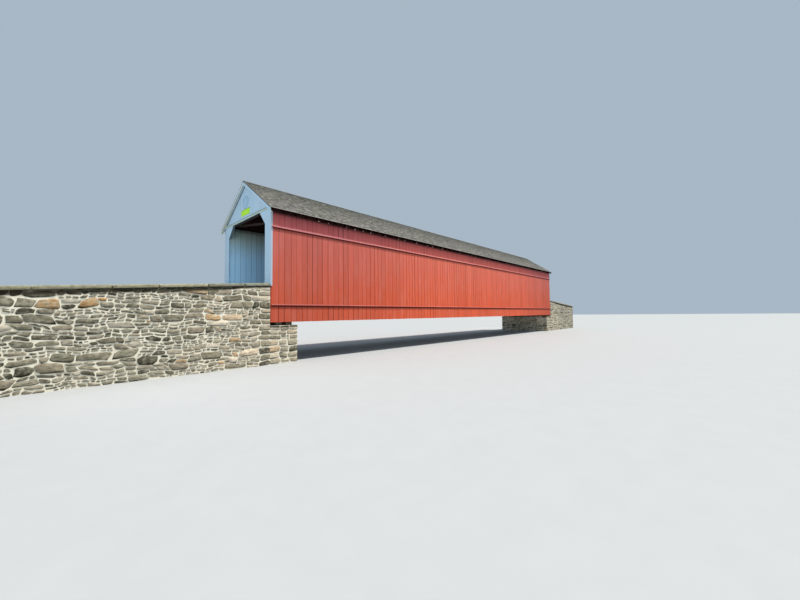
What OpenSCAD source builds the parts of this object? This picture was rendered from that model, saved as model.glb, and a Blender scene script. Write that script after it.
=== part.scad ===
// Covered bridge with plank lattice side trusses, boarded sides and stone wing walls.
// A scale model at half the real size: every length below is half that of the real bridge,
// which measures 36.6 m over its portals and 5.86 m over its side boards.
// Frame: X runs along the bridge from the near portal (-X) to the far one (+X), the front
// side faces -Y, Z points up, and the origin is on the creek level under the middle.

/* [Abutments and wing walls] */
// Height of the bearing seat above the creek level
seat_h = 910; // [600:10:1500]
// Length of the bearing seat under each end of the bridge
seat_len = 700; // [620:10:1200]
// Thickness of the wing walls and of the wall behind each seat
wall_t = 225; // [150:5:350]
// Length of each wing wall, out from the portal
wing_len = 4500; // [1500:50:6000]
// Height of the coping's top over the bearing seat, at the portal
parapet_h = 1000; // [700:10:1300]
// Angle at which the coping falls away from the portal, in degrees
wing_fall_angle = 4; // [0:0.5:7]
// Thickness of the coping slabs
coping_t = 60; // [30:5:90]
// Overhang of the coping over each face of the wall
coping_over = 28; // [5:1:40]
// Open joint between the stonework and the end of the bridge
end_joint = 8; // [4:1:15]

/* [Trusses] */
// Length of the bridge over its portal boards
bridge_len = 18300; // [12200:610:24400]
// Width of the bridge over its side boards
bridge_w = 2930; // [2600:10:3500]
// Height of the trusses, from the bottom chord's underside to the top chord's top
truss_h = 2650; // [2350:10:3000]
// Spacing of the lattice planks along the chords
panel = 610; // [500:10:800]
// Number of spacings that a lattice plank runs along the truss
plank_run = 3; // [2:1:4]
// Width of a lattice plank
plank_w = 140; // [90:5:160]
// Thickness of a lattice plank
plank_t = 38; // [25:1:50]
// Height of each chord
chord_h = 140; // [100:5:180]
// Thickness of each half of a chord, two planks thick
chord_t = 76; // [50:1:100]
// Length of the post that closes each end of a truss
end_post = 110; // [80:5:160]
// Height and width of the bed timbers under the trusses
bed_timber = 150; // [100:5:200]

/* [Floor] */
// Height of the floor beams
beam_h = 140; // [100:5:180]
// Width of the floor beams
beam_w = 75; // [50:5:100]
// Height of the stringers that lie on the floor beams
stringer_h = 97; // [60:1:130]
// Width of the stringers
stringer_w = 50; // [30:1:80]
// Number of stringers
stringers_n = 7; // [3:2:9]
// Thickness of the deck planks
deck_t = 38; // [25:1:60]
// Clearance of the deck's edges from the boarding beside it
deck_gap = 2; // [1:1:5]

/* [Bracing] */
// Height of the tie beams on the top chords
tie_h = 92; // [60:1:120]
// Width of the tie beams
tie_w = 90; // [60:5:120]
// Number of bays between tie beams
bays_n = 15; // [8:1:20]
// Height of a knee brace, from its foot on the chord to the tie beam
knee_rise = 530; // [440:10:600]
// Reach of a knee brace along the tie beam
knee_run = 480; // [300:10:600]
// Width of a knee brace where it meets the chord
knee_foot = 100; // [60:5:120]
// Thickness of the knee braces
knee_t = 40; // [25:1:60]
// Width of the crossed braces between the trusses
brace_w = 60; // [40:5:80]
// Thickness of the crossed braces
brace_t = 50; // [30:5:60]

/* [Roof] */
// Angle of the roof's slopes, in degrees
roof_angle = 33.69; // [26:0.01:40]
// Depth of the rafters
rafter_d = 70; // [45:1:90]
// Width of the rafters
rafter_w = 38; // [25:1:50]
// Number of rafters on each slope
rafters_n = 61; // [31:2:75]
// Width of the level seat that each rafter has on the top chord
rafter_seat = 37.5; // [20:0.5:50]
// Thickness of the roof lath
lath_t = 12; // [8:1:20]
// Width of the roof lath
lath_w = 50; // [35:1:60]
// Spacing of the roof lath up the slope
lath_step = 75; // [65:1:110]
// Thickness of the shingle covering
shingle_t = 16; // [10:1:30]
// Overhang of the roof past the side boards
eave_over = 110; // [60:5:200]
// Overhang of the roof past the portal boards
rake_over = 70; // [50:5:200]
// Thickness of the rake boards
rake_t = 16; // [10:1:25]
// Depth of the rake boards
rake_d = 75; // [50:5:120]
// Width of the ridge boards down each slope
ridge_w = 75; // [50:5:120]
// Thickness of the ridge boards
ridge_t = 12; // [8:1:20]
// How far the rafter tails stop short of the roof's edge
tail_back = 20; // [5:1:40]
// How far the shingles run past the lowest lath
shingle_over = 20; // [0:1:40]

/* [Side boards] */
// Thickness of the side boards
board_t = 14; // [9:1:20]
// Thickness of the rails that carry the side boards
rail_t = 38; // [20:1:50]
// Height of those rails
rail_h = 60; // [40:5:90]
// How far the side boards hang below the trusses
skirt_drop = 75; // [20:5:90]
// Height of the lowest tier, up to the underside of its ledge
low_tier_h = 400; // [300:5:500]
// Height of the top tier, down to the underside of its ledge
high_tier_h = 370; // [150:5:600]
// Drop from the top of the trusses to the top of the side boards
eave_gap = 90; // [65:5:130]
// Projection of the drip ledges
ledge_out = 28; // [15:1:45]
// Height of the upper drip ledge
ledge_high_h = 55; // [30:1:70]
// Height of the lower drip ledge
ledge_low_h = 36; // [25:1:60]
// Height of the ledges' outer edge
ledge_lip = 12; // [6:1:20]

/* [Portals] */
// Thickness of the portal boards
portal_t = 24; // [14:1:40]
// Width of the boarding beside the opening
jamb_w = 308; // [302:1:360]
// Width of the opening's chamfered corners
corner_w = 302; // [200:1:420]
// Height of the opening's chamfered corners
corner_h = 330; // [200:1:420]
// Depth of the chamfered corners into the bridge
corner_t = 60; // [30:5:90]
// Height of the moulding along the foot of the gable
trim_h = 65; // [40:5:90]
// Projection of that moulding
trim_out = 20; // [10:1:35]
// Length of the boarding inside each portal
lining_len = 1100; // [600:10:1120]
// Thickness of the boarding inside each portal
lining_t = 13; // [8:1:18]

/* [Plates on the near gable] */
// Width of the rectangular plate
plate_w = 540; // [300:10:700]
// Height of the rectangular plate
plate_h = 165; // [100:5:200]
// Thickness of both plates
plate_t = 5; // [3:1:10]
// Height of the rectangular plate's lower edge over the moulding
plate_up = 60; // [20:5:90]
// Radius of the round plate
disc_r = 170; // [120:5:190]
// Width of the round plate's raised rim
disc_rim = 28; // [10:1:50]
// Height of the round plate's rim over its face
disc_rim_t = 5; // [2:1:8]
// Space between the two plates
plate_space = 10; // [5:5:40]

/* [Hidden] */
$fn = 96;

half_len = bridge_len / 2;
half_w = bridge_w / 2;
inner_len = half_len - portal_t;

// Layers of a side wall, from the side boards inwards
rail_y = half_w - board_t;
chord_out_y = rail_y - rail_t;
lattice_out_y = chord_out_y - chord_t;
lattice_mid_y = lattice_out_y - plank_t;
lattice_in_y = lattice_mid_y - plank_t;
chord_in_y = lattice_in_y - chord_t;

// Levels
truss_z = seat_h + bed_timber;
truss_top = truss_z + truss_h;
skirt_z = truss_z - skirt_drop;
beam_z = truss_z + chord_h;
stringer_z = beam_z + beam_h;
deck_z = stringer_z + stringer_h;
road_z = deck_z + deck_t;
ledge_low_z = skirt_z + low_tier_h;
siding_top = truss_top - eave_gap;
ledge_high_z = siding_top - high_tier_h;

// Lattice: the planks cross on the middle lines of the chords
panels_n = round(bridge_len / panel);
panel_fit = bridge_len / panels_n;
lattice_h = truss_h - chord_h;
lattice_low_z = truss_z + chord_h / 2;
row_h = lattice_h / (2 * plank_run);
chord_mid_z = [
    lattice_low_z,
    lattice_low_z + row_h,
    lattice_low_z + lattice_h - row_h,
    lattice_low_z + lattice_h
];

// Roof: heights of its faces at a distance y from the bridge's middle
roof_tan = tan(roof_angle);
roof_cos = cos(roof_angle);
eave_y = half_w + eave_over;
roof_end = half_len + rake_over;
function rafter_under(y) = truss_top + (chord_out_y - rafter_seat - y) * roof_tan;
function rafter_top(y) = rafter_under(y) + rafter_d / roof_cos;
function lath_top(y) = rafter_top(y) + lath_t / roof_cos;
function roof_top(y) = lath_top(y) + shingle_t / roof_cos;

// A small gap that keeps two timbers apart where they pass each other
pass_gap = 2;
// The joint between the two ridge boards
ridge_gap = 1;
// Number of bed timbers on each seat
beds_n = 2;

// Basic shapes

module block(low, high) {
    translate(low) cube(high - low);
}

module along_x(x0, x1) {
    translate([x0, 0, 0]) rotate([90, 0, 90]) linear_extrude(x1 - x0) children();
}

module along_y(y0, y1) {
    translate([0, y1, 0]) rotate([90, 0, 0]) linear_extrude(y1 - y0) children();
}

module back_side() {
    mirror([0, 1, 0]) children();
}

module far_end() {
    mirror([1, 0, 0]) children();
}

module both_sides() {
    children();
    back_side() children();
}

module both_ends() {
    children();
    far_end() children();
}

// Stonework

module abutment() {
    color("rosybrown") union() {
        block([-half_len - end_joint, -half_w, 0], [-half_len - end_joint + seat_len, half_w, seat_h]);
        block([-half_len - end_joint - wall_t, wall_t - half_w, 0],
              [-half_len - end_joint, half_w - wall_t, road_z]);
    }
}

// Height of the wing wall's stonework, under its coping, at a distance out from the joint
function wing_top(out) = seat_h + parapet_h - coping_t - out * tan(wing_fall_angle);

module wing_wall() {
    color("tan") translate([-half_len - end_joint, 0, 0]) along_y(-half_w, wall_t - half_w)
        polygon([[0, 0], [-wing_len, 0], [-wing_len, wing_top(wing_len)], [0, wing_top(0)]]);
}

module coping() {
    out = wing_len + coping_over;
    color("gainsboro") translate([-half_len - end_joint, 0, 0])
        along_y(-half_w - coping_over, wall_t - half_w + coping_over)
            polygon([
                [0, wing_top(0)], [-out, wing_top(out)],
                [-out, wing_top(out) + coping_t], [0, wing_top(0) + coping_t]
            ]);
}

module bed_timbers() {
    step = (seat_len - 2 * end_joint - bed_timber) / beds_n;
    color("saddlebrown") both_ends() for (i = [0 : beds_n - 1]) {
        x = -inner_len + step / 2 + i * step;
        block([x, -chord_out_y, seat_h], [x + bed_timber, chord_out_y, truss_z]);
    }
}

// Trusses

// One layer of parallel lattice planks, drawn in the plane of the truss
module plank_layer(lean) {
    run = panel_fit * plank_run;
    long = (truss_h + run) * 2;
    intersection() {
        translate([end_post - inner_len, truss_z])
            square([2 * (inner_len - end_post), truss_h]);
        for (i = [1 - plank_run : panels_n - 1])
            translate([lean * (i * panel_fit - half_len), lattice_low_z])
                rotate(atan2(lattice_h, run * lean)) square([long, plank_w], center = true);
    }
}

module lattice() {
    color("peru") union() {
        along_y(-lattice_out_y, -lattice_mid_y) plank_layer(1);
        along_y(-lattice_mid_y, -lattice_in_y) plank_layer(-1);
    }
}

module chords() {
    color("sienna") for (z = chord_mid_z) {
        block([-inner_len, -chord_out_y, z - chord_h / 2], [inner_len, -lattice_out_y, z + chord_h / 2]);
        block([-inner_len, -lattice_in_y, z - chord_h / 2], [inner_len, -chord_in_y, z + chord_h / 2]);
    }
}

module end_posts() {
    color("sienna") both_sides() both_ends()
        block([-inner_len, -lattice_out_y, truss_z], [end_post - inner_len, -lattice_in_y, truss_top]);
}

// Floor

module floor_beams() {
    step = 2 * (inner_len - beam_w / 2) / panels_n;
    color("burlywood") for (i = [0 : panels_n])
        translate([-inner_len + i * step, -lattice_in_y, beam_z])
            cube([beam_w, 2 * lattice_in_y, beam_h]);
}

module stringers() {
    step = (2 * chord_in_y - 6 * stringer_w) / (stringers_n - 1);
    color("tan") for (i = [0 : stringers_n - 1])
        translate([-inner_len, (i - (stringers_n - 1) / 2) * step - stringer_w / 2, stringer_z])
            cube([2 * inner_len, stringer_w, stringer_h]);
}

module deck() {
    side = chord_in_y - lining_t - deck_gap;
    door = half_w - jamb_w - deck_gap;
    color("slategray") union() {
        block([-inner_len, -side, deck_z], [inner_len, side, road_z]);
        block([-half_len, -door, deck_z], [half_len, door, road_z]);
    }
}

// Two crossed braces that fill a bay between x0 and x1
module cross(x0, x1) {
    span = x1 - x0;
    reach = 2 * chord_in_y;
    angle = atan2(reach, span);
    intersection() {
        translate([x0, -chord_in_y]) square([span, reach]);
        translate([(x0 + x1) / 2, 0]) for (turn = [angle, -angle])
            rotate(turn) square([span + reach, brace_w], center = true);
    }
}

module bottom_braces() {
    bay = 2 * inner_len / bays_n;
    color("peru") for (i = [0 : bays_n - 1])
        translate([0, 0, truss_z + (chord_h - brace_t) / 2]) linear_extrude(brace_t)
            cross(-inner_len + i * bay + brace_w, -inner_len + (i + 1) * bay - brace_w);
}

// Ties, knees and top bracing

// Left edge of each tie beam
function tie_x(i) = -inner_len + i * (2 * inner_len - tie_w) / bays_n;

module tie_beams() {
    low_y = lattice_out_y;
    low_z = rafter_under(low_y) - pass_gap;
    high_z = truss_top + tie_h;
    high_y = low_y - (high_z - low_z) / roof_tan;
    color("chocolate") for (i = [0 : bays_n])
        along_x(tie_x(i), tie_x(i) + tie_w)
            polygon([
                [-low_y, truss_top], [low_y, truss_top], [low_y, low_z],
                [high_y, high_z], [-high_y, high_z], [-low_y, low_z]
            ]);
}

module knee_braces() {
    foot_z = truss_top - knee_rise;
    head_y = chord_in_y - knee_run;
    head_w = knee_foot * knee_run / knee_rise;
    color("chocolate") both_sides() for (i = [1 : bays_n - 1])
        along_x(tie_x(i) + (tie_w - knee_t) / 2, tie_x(i) + (tie_w + knee_t) / 2)
            polygon([
                [-chord_in_y, foot_z], [-head_y, truss_top],
                [-head_y - head_w, truss_top], [-chord_in_y, foot_z + knee_foot]
            ]);
}

module top_braces() {
    color("peru") for (i = [0 : bays_n - 1])
        translate([0, 0, truss_top + (tie_h - brace_t) / 2]) linear_extrude(brace_t)
            cross(tie_x(i) + tie_w, tie_x(i + 1));
}

// Roof

module rafters() {
    tail_y = eave_y - tail_back;
    step = 2 * (inner_len - rafter_w / 2) / (rafters_n - 1);
    color("wheat") for (i = [0 : rafters_n - 1])
        along_x(-inner_len + i * step, -inner_len + i * step + rafter_w)
            polygon([
                [-tail_y, rafter_under(tail_y)],
                [-chord_out_y, rafter_under(chord_out_y)],
                [-chord_out_y, truss_top],
                [rafter_seat - chord_out_y, truss_top],
                [0, rafter_under(0)], [0, rafter_top(0)],
                [-tail_y, rafter_top(tail_y)]
            ]);
}

module roof_lath() {
    slope = eave_y / roof_cos;
    start = lath_t * roof_tan + shingle_over;
    laths_n = floor((slope - start - lath_w) / lath_step) + 1;
    end = roof_end - rake_t;
    color("tan") both_sides()
        translate([-end, -eave_y, rafter_top(eave_y)]) rotate([roof_angle, 0, 0])
            for (i = [0 : laths_n - 1])
                translate([0, start + i * lath_step, 0]) cube([2 * end, lath_w, lath_t]);
}

module roof_slope() {
    color("dimgray") along_x(-roof_end, roof_end)
        polygon([
            [-eave_y, lath_top(eave_y)], [0, lath_top(0)],
            [0, roof_top(0)], [-eave_y, roof_top(eave_y)]
        ]);
}

module ridge_boards() {
    low_y = ridge_w * roof_cos;
    high_y = ridge_gap / 2;
    color("gray") both_sides() along_x(-roof_end, roof_end)
        polygon([
            [-low_y, roof_top(low_y)], [-high_y, roof_top(high_y)],
            [-high_y, roof_top(high_y) + ridge_t], [-low_y, roof_top(low_y) + ridge_t]
        ]);
}

module rake_boards() {
    drop = rake_d / roof_cos;
    color("lightsteelblue") along_x(-roof_end, rake_t - roof_end)
        polygon([
            [-eave_y, lath_top(eave_y) - drop], [0, lath_top(0) - drop], [eave_y, lath_top(eave_y) - drop],
            [eave_y, lath_top(eave_y)], [0, lath_top(0)], [-eave_y, lath_top(eave_y)]
        ]);
}

// Side boards

module siding_rails() {
    on_chord = [for (i = [0 : 2]) chord_mid_z[i] - rail_h / 2, siding_top - rail_h];
    on_lattice = (chord_mid_z[1] + chord_mid_z[2] - rail_h) / 2;
    color("peru") both_sides() {
        for (z = on_chord)
            block([-inner_len, -rail_y, z], [inner_len, -chord_out_y, z + rail_h]);
        block([-inner_len, -rail_y, on_lattice], [inner_len, -lattice_out_y, on_lattice + rail_h]);
    }
}

module siding(z0, z1) {
    color("indianred") block([-inner_len, -half_w, z0], [inner_len, -rail_y, z1]);
}

module ledge(z, h) {
    along_x(-inner_len, inner_len)
        polygon([
            [-half_w, z], [-half_w - ledge_out, z],
            [-half_w - ledge_out, z + ledge_lip], [-half_w, z + h]
        ]);
}

module ledges() {
    color("indianred") {
        ledge(ledge_low_z, ledge_low_h);
        ledge(ledge_high_z, ledge_high_h);
    }
}

module lower_siding() {
    siding(skirt_z, ledge_low_z + ledge_low_h / 2);
}

module main_siding() {
    siding(ledge_low_z + ledge_low_h / 2, ledge_high_z + ledge_high_h / 2);
}

module upper_siding() {
    siding(ledge_high_z + ledge_high_h / 2, siding_top);
}

// Portals

module gable() {
    color("lightsteelblue") along_x(-half_len, -inner_len)
        polygon([
            [-half_w, truss_top], [half_w, truss_top], [half_w, rafter_top(half_w)],
            [0, rafter_top(0)], [-half_w, rafter_top(half_w)]
        ]);
}

module portal_jambs() {
    color("lightsteelblue") both_sides()
        block([-half_len, -half_w, skirt_z], [-inner_len, jamb_w - half_w, truss_top]);
}

module portal_corners() {
    side = half_w - jamb_w;
    color("lightsteelblue") both_sides() along_x(-half_len, corner_t - half_len)
        polygon([
            [-side, truss_top - corner_h], [corner_w - side, truss_top], [-side, truss_top]
        ]);
}

module portal_trim() {
    color("aliceblue")
        block([-half_len - trim_out, -half_w, truss_top], [-half_len, half_w, truss_top + trim_h]);
}

module portal_linings() {
    color("lightslategray") both_ends() both_sides()
        block([-inner_len, -chord_in_y, road_z + deck_gap],
              [lining_len - inner_len, lining_t - chord_in_y, truss_top - pass_gap]);
}

// Plates

plate_z = truss_top + trim_h + plate_up;

module clearance_plate() {
    color("yellowgreen")
        block([-half_len - plate_t, -plate_w / 2, plate_z], [-half_len, plate_w / 2, plate_z + plate_h]);
}

module round_plate() {
    color("slategray") translate([-half_len, 0, plate_z + plate_h + plate_space + disc_r]) rotate([0, -90, 0])
        difference() {
            cylinder(r = disc_r, h = plate_t + disc_rim_t);
            translate([0, 0, plate_t]) cylinder(r = disc_r - disc_rim, h = 2 * disc_rim_t);
        }
}

abutment();  // near_abutment
far_end() abutment();  // far_abutment
wing_wall();  // near_front_wing_wall
back_side() wing_wall();  // near_back_wing_wall
far_end() wing_wall();  // far_front_wing_wall
far_end() back_side() wing_wall();  // far_back_wing_wall
both_sides() coping();  // near_copings
far_end() both_sides() coping();  // far_copings
bed_timbers();
lattice();  // front_lattice
back_side() lattice();  // back_lattice
chords();  // front_chords
back_side() chords();  // back_chords
end_posts();
floor_beams();
stringers();
deck();
bottom_braces();
tie_beams();
knee_braces();
top_braces();
rafters();  // front_rafters
back_side() rafters();  // back_rafters
roof_lath();
roof_slope();  // front_roof
back_side() roof_slope();  // back_roof
ridge_boards();
rake_boards();  // near_rake_boards
far_end() rake_boards();  // far_rake_boards
siding_rails();
lower_siding();  // front_lower_siding
main_siding();  // front_main_siding
upper_siding();  // front_upper_siding
ledges();  // front_ledges
back_side() lower_siding();  // back_lower_siding
back_side() main_siding();  // back_main_siding
back_side() upper_siding();  // back_upper_siding
back_side() ledges();  // back_ledges
gable();  // near_gable
portal_jambs();  // near_portal_jambs
portal_corners();  // near_portal_corners
portal_trim();  // near_portal_trim
far_end() gable();  // far_gable
far_end() portal_jambs();  // far_portal_jambs
far_end() portal_corners();  // far_portal_corners
far_end() portal_trim();  // far_portal_trim
portal_linings();
clearance_plate();
round_plate();
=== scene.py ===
"""Looks of a long covered timber bridge with boarded sides, a shingled roof and rubble wing walls."""

import logging
import math
from collections.abc import Callable
from dataclasses import dataclass, field
from enum import Enum

import bpy
import numpy as np
from mathutils import Matrix, Vector


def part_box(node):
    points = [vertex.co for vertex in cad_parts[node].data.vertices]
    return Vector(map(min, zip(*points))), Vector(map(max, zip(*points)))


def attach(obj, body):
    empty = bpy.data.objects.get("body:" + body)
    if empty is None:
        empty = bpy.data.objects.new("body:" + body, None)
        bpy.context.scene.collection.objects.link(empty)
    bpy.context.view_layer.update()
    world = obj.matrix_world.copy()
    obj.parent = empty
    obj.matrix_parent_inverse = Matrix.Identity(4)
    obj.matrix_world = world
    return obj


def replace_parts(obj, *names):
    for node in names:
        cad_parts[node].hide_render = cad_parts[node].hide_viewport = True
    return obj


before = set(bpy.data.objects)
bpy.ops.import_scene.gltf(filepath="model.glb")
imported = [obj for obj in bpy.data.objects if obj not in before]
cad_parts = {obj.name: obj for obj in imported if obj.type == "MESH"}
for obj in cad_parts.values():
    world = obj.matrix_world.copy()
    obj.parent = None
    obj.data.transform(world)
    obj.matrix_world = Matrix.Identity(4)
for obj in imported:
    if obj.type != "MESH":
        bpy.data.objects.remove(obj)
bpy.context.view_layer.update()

log = logging.getLogger("covered_bridge")

Colour = tuple[float, float, float]
Number = float | np.ndarray
Spots = tuple[tuple[float, float, float], ...]

X, Y, Z = np.eye(3)
GRAIN_SHIFT = 40.0


def srgb(red: int, green: int, blue: int) -> Colour:
    """Turn a colour of 0 to 255 a channel into linear light.

    Args:
        red, green, blue: the channels as a screen shows them.

    Returns:
        The same colour in linear light, by the usual screen curve.
    """
    channels = np.array([red, green, blue]) / 255
    return tuple(np.where(channels <= 0.04045, channels / 12.92, ((channels + 0.055) / 1.055) ** 2.4))


class Way(int, Enum):
    """One of two ways along an axis, -1 or 1, written as the word for it in the CAD nodes' names."""

    def __format__(self, style: str) -> str:
        """Return that word."""
        return self.name.lower()


class Side(Way):
    """The bridge's sides and their ways along Y. The photograph shows the front one."""

    FRONT = -1
    BACK = 1


class End(Way):
    """The bridge's ends and their ways along X. The photograph shows the near one."""

    NEAR = -1
    FAR = 1


# Shapes


@dataclass
class Box:
    """The box that a CAD node fills, in metres."""

    low: np.ndarray
    high: np.ndarray

    @classmethod
    def of(cls, node: str) -> "Box":
        """Measure a node of the frame."""
        low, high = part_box(node)
        return cls(np.array(low), np.array(high))

    @classmethod
    def layer(cls, one: float, two: float) -> "Box":
        """Return an upright layer between two places along Y."""
        return cls(Y * min(one, two), Y * max(one, two))

    @property
    def middle(self) -> np.ndarray:
        """Return the box's centre."""
        return (self.low + self.high) / 2

    @property
    def size(self) -> np.ndarray:
        """Return the box's length along each axis."""
        return self.high - self.low

    def span(self, axis: int) -> list[float]:
        """Return the box's two ends along an axis, first the one nearer to the bridge's middle."""
        return sorted((self.low[axis], self.high[axis]), key=abs)


@dataclass
class Shape:
    """Points, faces and point attributes of closed meshes, held as whole arrays of any shape.

    grain is the place along, across and through the piece's own timber or stone, in metres.
    piece is a tone from 0 to 1, the place across from -1 to 1, and a second tone.
    ends is the distance from the lower end and from the upper one in metres, and a mark from 0 to 1.
    """

    points: np.ndarray
    faces: list[np.ndarray]
    grain: np.ndarray
    piece: np.ndarray
    ends: np.ndarray

    def __post_init__(self) -> None:
        """Make each array one row for each point."""
        self.points, self.grain, self.piece, self.ends = (
            array.reshape(-1, 3) for array in (self.points, self.grain, self.piece, self.ends))

    @staticmethod
    def join(shapes: list["Shape"]) -> "Shape":
        """Put several shapes into one.

        Args:
            shapes: the shapes, whose faces keep pointing at their own points.

        Returns:
            One shape with all the points and faces.
        """
        starts = np.cumsum([0] + [len(shape.points) for shape in shapes[:-1]])
        points, grain, piece, ends = (
            np.concatenate([getattr(shape, label) for shape in shapes])
            for label in ("points", "grain", "piece", "ends"))
        faces = [face + start for shape, start in zip(shapes, starts) for face in shape.faces]
        return Shape(points, faces, grain, piece, ends)

    def to_object(self, name: str, material: bpy.types.Material, slot: str,
                  smooth: bool = False) -> bpy.types.Object:
        """Make the Blender object, riding on the bridge.

        Args:
            name: the piece's name.
            material: its finish.
            slot: the name of a material slot; not used.
            smooth: whether its faces are shaded as one rounded surface.

        Returns:
            The object, at the origin with its place in its mesh.
        """
        mesh = bpy.data.meshes.new(name)
        sizes = np.concatenate([np.full(len(f), f.shape[1]) for f in self.faces])
        starts = np.concatenate([[0], np.cumsum(sizes)[:-1]])
        corners = np.concatenate([f.ravel() for f in self.faces])
        mesh.vertices.add(len(self.points))
        mesh.vertices.foreach_set("co", self.points.astype(np.float32).ravel())
        mesh.loops.add(len(corners))
        mesh.loops.foreach_set("vertex_index", corners.astype(np.int32))
        mesh.polygons.add(len(sizes))
        mesh.polygons.foreach_set("loop_start", starts.astype(np.int32))
        mesh.polygons.foreach_set("use_smooth", np.full(len(sizes), smooth))
        mesh.update(calc_edges=True)
        for label in ("grain", "piece", "ends"):
            attribute = mesh.attributes.new(label, "FLOAT_VECTOR", "POINT")
            attribute.data.foreach_set("vector", getattr(self, label).astype(np.float32).ravel())
        mesh.materials.append(material)
        obj = bpy.data.objects.new(name, mesh)
        bpy.context.scene.collection.objects.link(obj)
        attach(obj, "root")
        log.info("%s: %d triangles", name, int((sizes - 2).sum()))
        return obj


def eased(corners: np.ndarray, width: Number) -> np.ndarray:
    """Cut the corners off outlines.

    Each corner becomes two points, one width away from it towards its two neighbours.

    Args:
        corners: the corners of each outline, in order round it.
        width: how much is cut off.

    Returns:
        Outlines with twice as many points.
    """
    cuts = []
    for turn in (1, -1):
        side = np.roll(corners, turn, axis=-2) - corners
        cuts.append(corners + side / np.linalg.norm(side, axis=-1, keepdims=True) * width)
    return np.stack(cuts, -2).reshape(*corners.shape[:-2], -1, 2)


def oval(points: int, power: Number) -> list[np.ndarray]:
    """Return x and y of a squarish oval, |x|^p + |y|^p = 1, at even angles, where power is 2 / p."""
    angle = 2 * np.pi * (np.arange(points) + 0.5) / points
    return [np.sign(wave) * np.abs(wave) ** power for wave in (np.cos(angle), np.sin(angle))]


def ring_faces(count: int, rings: int, corners: int, middles: int = 0) -> list[np.ndarray]:
    """Number the faces of closed stacks of rings.

    Each ring is joined to the next by quads. An end is one flat face, or a fan round a middle
    point, and the middle points come after the rings.

    Args:
        count: the number of stacks.
        rings: the rings of each stack.
        corners: the points of each ring, counter-clockwise as seen from beyond the last ring.
        middles: 0 for two flat ends, 1 for a fan on the last ring, 2 for fans on both.

    Returns:
        The quads, the fans and the flat ends of all the stacks.
    """
    corner = np.arange(corners)
    after = (corner + 1) % corners
    foot = corners * np.arange(rings - 1)[:, None]
    last = corners * (rings - 1)
    sides = np.stack([foot + corner, foot + after, foot + corners + after, foot + corners + corner], -1)
    fans = [np.stack([last + corner, last + after, np.full(corners, last + corners)], -1),
            np.stack([after, corner, np.full(corners, last + corners + 1)], -1)][:middles]
    flats = [corner[None, ::-1], last + corner[None]][:2 - middles]
    groups = [sides.reshape(-1, 4)] + [np.concatenate(group) for group in (fans, flats) if group]
    first = ((corners * rings + middles) * np.arange(count))[:, None, None]
    return [(first + group).reshape(-1, group.shape[1]) for group in groups]


def tagged(tones: np.ndarray, across: np.ndarray) -> np.ndarray:
    """Put the two tones of each piece on either side of a value that each of its points has."""
    return np.stack([tones[0] + 0 * across, across, tones[1] + 0 * across], -1)


def carry(outline: np.ndarray, centre: np.ndarray, along: np.ndarray, across: np.ndarray, low: Number,
          high: Number, rng: np.random.Generator, rings: int = 2, sway: float = 0.0,
          mark: Number = 0.0) -> Shape:
    """Carry one outline for each timber along a straight line, and close its ends.

    A point at the share s of its timber lies at low + (high - low) * s along the line, and the
    rings between the ends move by a random sway across the line and through it.

    Args:
        outline: the points (across, through) of each timber, counter-clockwise.
        centre: a point of the timbers' line, one for all or one for each.
        along: the unit vector of that line.
        across: the unit vector of the outline's first direction; its second one is their cross product.
        low: where the timbers start along their lines, one value each or one for each outline point.
        high: where they end.
        rng: the source of random numbers.
        rings: outlines along each timber, from end to end.
        sway: the spread of the rings' sideways moves, in metres.
        mark: the timbers' mark for their finish, one value or one for each outline point.

    Returns:
        The timbers as one shape.
    """
    count, corners = outline.shape[:2]
    centre, along, across = (np.broadcast_to(given, (count, 3)) for given in (centre, along, across))
    low, high = (np.broadcast_to(end if np.ndim(end) == 2 else np.reshape(end, (-1, 1)), (count, corners))
                 for end in (low, high))
    share = np.linspace(0, 1, rings)[None, :, None]
    reach = low[:, None, :] + (high - low)[:, None, :] * share
    sides = outline[:, None] + rng.normal(0, sway, (count, rings, 1, 2))
    through = np.cross(along, across)
    points = (
        centre[:, None, None, :]
        + reach[..., None] * along[:, None, None, :]
        + sides[..., :1] * across[:, None, None, :]
        + sides[..., 1:] * through[:, None, None, :]
    )
    grain = np.concatenate([reach[..., None], sides], -1) + rng.uniform(0, GRAIN_SHIFT, (count, 1, 1, 3))
    place = outline[..., 0] - outline[..., 0].mean(1, keepdims=True)
    place = place / np.abs(place).max(1, keepdims=True)
    piece = tagged(rng.uniform(0, 1, (2, count, 1, 1)), place[:, None] + 0 * reach)
    first_end, last_end = low.min(1)[:, None, None], high.max(1)[:, None, None]
    ends = np.stack([reach - first_end, last_end - reach, mark + 0 * reach], -1)
    return Shape(points, ring_faces(count, rings, corners), grain, piece, ends)


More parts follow.
